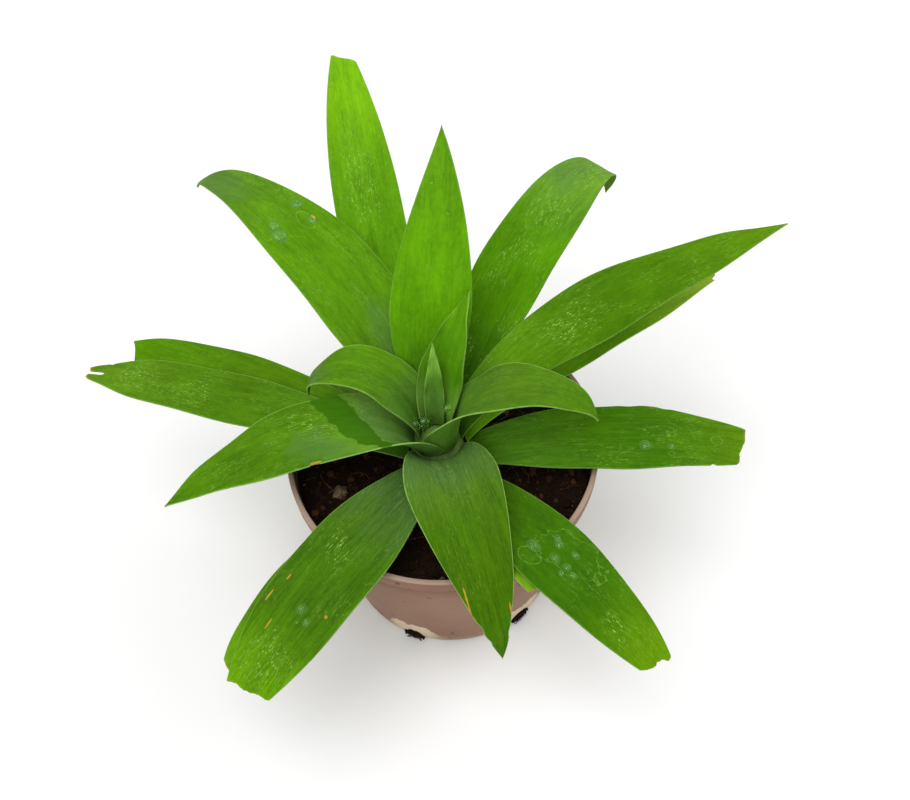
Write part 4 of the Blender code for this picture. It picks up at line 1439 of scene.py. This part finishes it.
def soil_relief(place, radius, edge):
    """Height of the bumps, clods and grains at a place on the soil."""
    calm = eased(radius, CALM_MIDDLE_RADIUS, CALM_MIDDLE_RADIUS + CALM_FADE)
    calm *= eased(edge - radius, 0.0, CALM_EDGE)
    relief = SOIL_BUMP * noise.noise(place / SOIL_BUMP_SIZE)
    relief += CLOD_HEIGHT * noise.noise(place / CLOD_SIZE + UP * 5)
    relief += GRAIN_HEIGHT * noise.noise(place / GRAIN_SIZE + UP * 9)
    return calm * relief


def soil_top(x, y):
    """Height of the soil's top at a place."""
    edge = inside_radius(SOIL_EDGE_HEIGHT)
    hole = stem_radius(SOIL_MIDDLE_HEIGHT) + SEAT_GAP
    radius = math.hypot(x, y)
    share = min(max((radius - hole) / (edge - hole), 0.0), 1.0)
    height = SOIL_MIDDLE_HEIGHT + (SOIL_EDGE_HEIGHT - SOIL_MIDDLE_HEIGHT) * share
    return height + soil_relief(Vector((x, y, height)), radius, edge)


def start_grains():
    """A new mesh whose points carry a random value and a place along a thread."""
    bm = bmesh.new()
    return bm, bm.verts.layers.float_vector.new("crumb")


def scattered(chance, least, most):
    """A random place on the soil, spread evenly between two distances from the middle."""
    reach = math.sqrt(chance.uniform(least**2, most**2))
    turn = chance.uniform(0, 2 * math.pi)
    return reach, reach * math.cos(turn), reach * math.sin(turn)


def close_rings(bm, rings):
    """Faces between rings that have the same number of points, and one face at each end."""
    for near, far in zip(rings, rings[1:]):
        for step in range(len(near)):
            after = (step + 1) % len(near)
            bm.faces.new((near[step], near[after], far[after], far[step]))
    bm.faces.new(list(reversed(rings[0])))
    bm.faces.new(rings[-1])


def add_lump(bm, layer, centre, radius, chance, seed, flat=0.75, fineness=2):
    """A small uneven lump, made by pushing a ball's points in and out and squashing it."""
    made = bmesh.ops.create_icosphere(bm, subdivisions=fineness, radius=1.0)
    shift = Vector((seed * 3.1, seed * 1.7, seed * 2.3))
    squash = Matrix.Rotation(seed * 2.4, 3, "Z") @ Matrix.Diagonal((1.0, 0.62 + 0.3 * chance, flat))
    for vert in made["verts"]:
        push = 1 + 0.42 * noise.noise(vert.co * 1.3 + shift) + 0.22 * noise.noise(vert.co * 3.1 + shift)
        vert.co = centre + squash @ vert.co * radius * push
        vert[layer] = (chance, 0.0, 0.0)


def add_tube(bm, layer, points, radius, chance, sides=5):
    """A thin tube along some points, closed at both ends and thinner there."""
    rings = []
    for index, point in enumerate(points):
        ahead = points[min(index + 1, len(points) - 1)] - points[max(index - 1, 0)]
        across = ahead.cross(UP)
        across = across.normalized() if across.length > 1e-6 else Vector((1.0, 0.0, 0.0))
        above = across.cross(ahead).normalized()
        share = index / (len(points) - 1)
        thick = radius * (0.45 + 0.55 * math.sin(math.pi * share))
        ring = []
        for step in range(sides):
            turn = 2 * math.pi * step / sides
            vert = bm.verts.new(point + (across * math.cos(turn) + above * math.sin(turn)) * thick)
            vert[layer] = (chance, share, 0.0)
            ring.append(vert)
        rings.append(ring)
    close_rings(bm, rings)


def soil_body():
    """The soil's solid mass with its rough top."""
    bm = turned(soil_profile(), SOIL_SIDES)
    edge = inside_radius(SOIL_EDGE_HEIGHT)
    hole_floor = STEM_PROFILE[0][1]
    for vert in bm.verts:
        radius = Vector(vert.co[:2]).length
        if vert.co.z < hole_floor - 2 * SEAT_GAP:
            continue
        vert.co += PLANT_OFFSET * min(1.0, max(0.0, (edge - radius) / (edge - CALM_MIDDLE_RADIUS)))
        if vert.co.z > hole_floor:
            vert.co.z += soil_relief(vert.co.copy(), radius, edge)
    return bm


def plug_bodies(bm):
    """Soil that fills each drain notch and bulges a little out of it."""
    for _, out, side in notch_directions():
        outline = arch_outline(SEAT_GAP, 1.5 * SEAT_GAP)
        middle = (0.0, NOTCH_HEIGHT * 0.42)
        rings = []
        for step in range(PLUG_LENGTH_STEPS + PLUG_CAP_RINGS):
            on_side = min(step / (PLUG_LENGTH_STEPS - 1), 1.0)
            reach = NOTCH_INNER_RADIUS + SEAT_GAP
            reach += (PLUG_OUTER_RADIUS - PLUG_SET_BACK - NOTCH_INNER_RADIUS - SEAT_GAP) * on_side
            closing = max(0.0, (step - PLUG_LENGTH_STEPS + 1) / PLUG_CAP_RINGS)
            reach += PLUG_BULGE * math.sin(closing * math.pi / 2)
            ring = []
            for x, z in outline:
                x = x + (middle[0] - x) * closing
                z = z + (middle[1] - z) * closing
                place = out * reach + side * x + UP * z
                rough = noise.noise(place * 0.9) + 0.5 * noise.noise(place * 2.3)
                place += out * rough * PLUG_ROUGHNESS * on_side
                if step >= PLUG_LENGTH_STEPS - 2:
                    place.z = max(SEAT_GAP, place.z - 0.25 * abs(rough))
                ring.append(bm.verts.new(place))
            rings.append(ring)
        close_rings(bm, rings)


class AGAVE_OT_fill_soil(Operator):
    """Fill the pot with dark soil, crumbs, fibres and a granule, with root threads at the notches"""
    bl_idname = "agave.fill_soil"
    bl_label = "Fill Soil"

    def execute(self, context):
        settings = context.scene.agave_soil
        earth = soil_material(settings)
        piece = add_soil("soil_body", soil_body(), earth)
        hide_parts("soil")
        bm = bmesh.new()
        plug_bodies(bm)
        add_soil("soil_plugs", bm, earth)
        self.add_crumbs(settings)
        self.add_fibres(settings)
        self.add_root_threads(settings)
        self.add_notch_crumbs(settings)
        self.add_granule()
        return {"FINISHED"}

    def add_crumbs(self, settings):
        chance = random.Random(CRUMB_SEED)
        bm, layer = start_grains()
        largest = settings.crumb_size / MM
        for index in range(settings.crumbs):
            reach, x, y = scattered(chance, *CRUMB_REACH)
            radius = largest * (0.24 + 0.76 * chance.random() ** 3)
            radius = min(radius, CRUMB_WALL - reach)
            place = Vector((x, y, soil_top(x, y) + CRUMB_LIFT * radius))
            fineness = 2 if radius > FINE_CRUMB else 1
            add_lump(bm, layer, place, radius, chance.random(), index, fineness=fineness)
        add_soil("soil_crumbs", bm, crumb_material(settings))

    def add_fibres(self, settings):
        chance = random.Random(FIBRE_SEED)
        bm, layer = start_grains()
        for _ in range(settings.fibres):
            _, x, y = scattered(chance, *FIBRE_REACH)
            heading = chance.uniform(0, 2 * math.pi)
            bend = chance.uniform(*FIBRE_BEND)
            radius = chance.uniform(*FIBRE_RADII)
            points = []
            for _ in range(chance.randint(*FIBRE_POINTS)):
                from_stem = math.hypot(x - PLANT_OFFSET.x, y)
                if math.hypot(x, y) > FIBRE_WALL or from_stem < FIBRE_STEM_RADIUS:
                    break
                points.append(Vector((x, y, soil_top(x, y) + radius + chance.uniform(*FIBRE_LIFT))))
                heading += bend + chance.uniform(*FIBRE_WANDER)
                x += FIBRE_STEP * math.cos(heading)
                y += FIBRE_STEP * math.sin(heading)
            if len(points) >= FIBRE_FEWEST_POINTS:
                add_tube(bm, layer, points, radius, chance.random())
        add_soil("soil_fibres", bm, fibre_material(settings), THREAD_SMOOTH)

    def add_root_threads(self, settings):
        chance = random.Random(ROOT_SEED)
        bm, layer = start_grains()
        for _, out, side in notch_directions():
            for _ in range(settings.root_threads):
                x = chance.uniform(*ROOT_START_ACROSS)
                z = chance.uniform(*ROOT_START_HEIGHT)
                heading = chance.uniform(0, 2 * math.pi)
                radius = chance.uniform(*ROOT_RADII)
                points = []
                for step in range(ROOT_POINTS):
                    reach = PLUG_OUTER_RADIUS + ROOT_STAND_OFF
                    reach += ROOT_WEAVE * math.sin(step * 0.6 + heading)
                    points.append(out * reach + side * x + UP * z)
                    heading += chance.uniform(*ROOT_WANDER)
                    x = min(max(x + ROOT_STEP * math.cos(heading), -ROOT_HALF_WIDTH), ROOT_HALF_WIDTH)
                    z = min(max(z + ROOT_STEP * math.sin(heading), ROOT_LOWEST), ROOT_HIGHEST)
                add_tube(bm, layer, points, radius, chance.random())
        add_soil("root_threads", bm, fibre_material(settings), THREAD_SMOOTH)

    def add_notch_crumbs(self, settings):
        """Soil that has been pushed out of the notches and sticks to the wall above them."""
        chance = random.Random(NOTCH_CRUMB_SEED)
        bm, layer = start_grains()
        for index, out, side in notch_directions():
            for step in range(NOTCH_CRUMBS):
                z = chance.uniform(NOTCH_CRUMB_LOWEST, NOTCH_CRUMB_HEIGHT)
                wide = NOTCH_CRUMB_SPREAD * math.sqrt(1 - (z / (1.05 * NOTCH_CRUMB_HEIGHT)) ** 2)
                x = chance.uniform(-wide, wide)
                radius = chance.uniform(*NOTCH_CRUMB_RADII)
                place = out * (wall_radius(z) + CRUMB_LIFT * radius) + side * x + UP * z
                add_lump(bm, layer, place, radius, 0.5 * chance.random(), index * 50 + step)
        add_soil("notch_crumbs", bm, crumb_material(settings))

    def add_granule(self):
        bm, layer = start_grains()
        turn = math.radians(GRANULE_AZIMUTH)
        x, y = GRANULE_REACH * math.cos(turn), GRANULE_REACH * math.sin(turn)
        place = Vector((x, y, soil_top(x, y) + GRANULE_LIFT))
        add_lump(bm, layer, place, GRANULE_RADIUS, 0.9, 3, flat=0.7, fineness=4)
        add_soil("soil_granule", bm, granule_material())


class AGAVE_OT_place_water(Operator):
    """Set water drops on the leaves and in the heart"""
    bl_idname = "agave.place_water"
    bl_label = "Place Water"

    def execute(self, context):
        height = context.scene.agave_water.drop_height / MM
        buckles = context.scene.agave_leaves.buckle_height / MM
        blades = {leaf.name: Blade(leaf, buckles) for leaf in LEAVES}
        bm = bmesh.new()
        for index, (name, share, side, radius) in enumerate(DROPS):
            tall = height * min(1.0, radius / TALL_DROP)
            self.add_drop(bm, blades[name], share, side, radius, tall, index)
        for index, (x, y, z, radius) in enumerate(POOLS):
            self.add_pool(bm, Vector((x, y, z)), radius, index)
        piece = add_piece("water_drops", mesh_from(bm, "water_drops", 60.0), (water_material(),))
        piece.visible_shadow = False
        return {"FINISHED"}

    def add_pool(self, bm, centre, radius, seed):
        """A rounded, slightly uneven body of water held between leaf bases."""
        made = bmesh.ops.create_icosphere(bm, subdivisions=3, radius=radius)
        for vert in made["verts"]:
            swell = 1 + POOL_SWELL * noise.noise(vert.co * 0.45 + UP * seed * 7)
            vert.co = centre + Vector((vert.co.x, vert.co.y, vert.co.z * POOL_FLAT)) * swell

    def add_drop(self, bm, blade, share, side, radius, height, seed):
        """A flat bead that follows the blade under it and sinks slightly into it."""
        wide = half_width(blade.leaf, share)

        def place(out, turn, lift):
            swing = 1 + 0.14 * math.sin(2 * turn + seed) + 0.08 * math.sin(3 * turn + 2 * seed)
            reach = radius * out * swing
            at = share + reach * math.cos(turn) / blade.length
            across = min(max(side + reach * math.sin(turn) / wide, -DROP_LIMIT), DROP_LIMIT)
            skin = BLADE_THICKNESS / 2 * (1 - across * across)
            skin += EDGE_THICKNESS / 2 * across * across
            return blade.point(at, across) + blade.facing(at, across) * (skin + lift)

        top = bm.verts.new(place(0.0, 0.0, height))
        rings = []
        for ring in range(1, DROP_RINGS + 1):
            out = math.sin(ring / DROP_RINGS * math.pi / 2)
            lift = height * math.cos(ring / DROP_RINGS * math.pi / 2)
            if ring == DROP_RINGS:
                lift -= DROP_SINK
            rings.append([bm.verts.new(place(out, 2 * math.pi * step / DROP_SIDES, lift))
                          for step in range(DROP_SIDES)])
        under = bm.verts.new(place(0.0, 0.0, -DROP_SINK))
        for step in range(DROP_SIDES):
            after = (step + 1) % DROP_SIDES
            bm.faces.new((top, rings[0][step], rings[0][after]))
            for near, far in zip(rings, rings[1:]):
                bm.faces.new((near[step], far[step], far[after], near[after]))
            bm.faces.new((rings[-1][step], under, rings[-1][after]))


class AGAVE_OT_set_stage(Operator):
    """Set the pale floor, the soft lights and the camera"""
    bl_idname = "agave.set_stage"
    bl_label = "Set Stage"

    def execute(self, context):
        settings = context.scene.agave_stage
        bm = bmesh.new()
        reach = settings.floor_size / MM
        turns = [2 * math.pi * step / FLOOR_SIDES for step in range(FLOOR_SIDES)]
        bm.faces.new([bm.verts.new((reach * math.cos(turn), reach * math.sin(turn), FLOOR_HEIGHT))
                      for turn in turns])
        floor = new_object("floor", mesh_from(bm, "floor", outwards=False))
        floor.data.materials.append(floor_material(settings))
        floor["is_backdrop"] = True
        self.add_light("key_light", *KEY_LIGHT, settings.key_power)
        self.add_light("fill_light", *FILL_LIGHT, settings.fill_power)
        self.add_surroundings(context.scene, settings)
        self.add_camera(context.scene)
        context.scene.view_settings.view_transform = "Standard"
        return {"FINISHED"}

    def add_light(self, name, place, size, power):
        light = bpy.data.lights.new(name, "AREA")
        light.size = size
        light.energy = power
        lamp = new_object(name, light)
        lamp.location = place
        lamp.rotation_euler = (LIGHT_AIM - place).to_track_quat("-Z", "Y").to_euler()

    def add_surroundings(self, scene, settings):
        world = bpy.data.worlds.new("studio")
        world.use_nodes = True
        light = world.node_tree.nodes["Background"]
        light.inputs["Color"].default_value = (1.0, 1.0, 1.0, 1.0)
        light.inputs["Strength"].default_value = settings.sky_strength
        scene.world = world

    def add_camera(self, scene):
        camera = bpy.data.cameras.new("camera")
        camera.sensor_width = SENSOR_WIDTH
        camera.sensor_fit = "HORIZONTAL"
        camera.lens = SENSOR_WIDTH * FOCAL_PIXELS / IMAGE_WIDTH
        camera.clip_start = CLIP_START
        camera.clip_end = CLIP_END
        tilt, roll = math.radians(CAMERA_TILT), math.radians(CAMERA_ROLL)
        back = Vector((0.0, -math.cos(tilt), math.sin(tilt)))
        right = Vector((1.0, 0.0, 0.0))
        above = back.cross(right)
        across = right * math.cos(roll) + above * math.sin(roll)
        upwards = above * math.cos(roll) - right * math.sin(roll)
        stand = new_object("camera", camera)
        turn = Matrix((across, upwards, back)).transposed().to_4x4()
        stand.matrix_world = Matrix.Translation(CAMERA_AIM + back * CAMERA_DISTANCE) @ turn
        scene.camera = stand


SETTINGS = (
    ("agave_leaves", AgaveLeafSettings), ("agave_stem", AgaveStemSettings),
    ("agave_soil", AgaveSoilSettings), ("agave_pot", AgavePotSettings),
    ("agave_water", AgaveWaterSettings), ("agave_stage", AgaveStageSettings),
)
STEPS = (
    (AGAVE_OT_set_stage, "agave_stage"), (AGAVE_OT_mould_pot, "agave_pot"),
    (AGAVE_OT_fill_soil, "agave_soil"), (AGAVE_OT_turn_stem, "agave_stem"),
    (AGAVE_OT_grow_leaves, "agave_leaves"), (AGAVE_OT_place_water, "agave_water"),
)


class AGAVE_PT_workshop(Panel):
    """Lists the steps that make the plant, each with its settings"""
    bl_idname = "AGAVE_PT_workshop"
    bl_label = "Potted Agave"
    bl_space_type = "VIEW_3D"
    bl_region_type = "UI"
    bl_category = "Agave"

    def draw(self, context):
        for step, settings_name in STEPS:
            box = self.layout.box()
            box.operator(step.bl_idname)
            settings = getattr(context.scene, settings_name)
            for name in settings.bl_rna.properties.keys():
                if name not in {"rna_type", "name"}:
                    box.prop(settings, name)


def register():
    for name, group in SETTINGS:
        bpy.utils.register_class(group)
        setattr(bpy.types.Scene, name, PointerProperty(type=group))
    for step, _ in STEPS:
        bpy.utils.register_class(step)
    bpy.utils.register_class(AGAVE_PT_workshop)


def unregister():
    bpy.utils.unregister_class(AGAVE_PT_workshop)
    for step, _ in reversed(STEPS):
        bpy.utils.unregister_class(step)
    for name, group in reversed(SETTINGS):
        delattr(bpy.types.Scene, name)
        bpy.utils.unregister_class(group)


def write_sizes():
    """Works out the box of the plain solids and the box of the dressed plant, as lists of corners;
    nothing uses them.
    """
    boxes = {"cad": CAD_BOX, "visual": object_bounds()}
    plain = {name: [list(corner_) for corner_ in box] for name, box in boxes.items()}


def main():
    register()
    bpy.ops.agave.set_stage()
    bpy.ops.agave.mould_pot()
    bpy.ops.agave.fill_soil()
    bpy.ops.agave.turn_stem()
    bpy.ops.agave.grow_leaves()
    bpy.ops.agave.place_water()
    write_sizes()


if __name__ == "__main__":
    main()
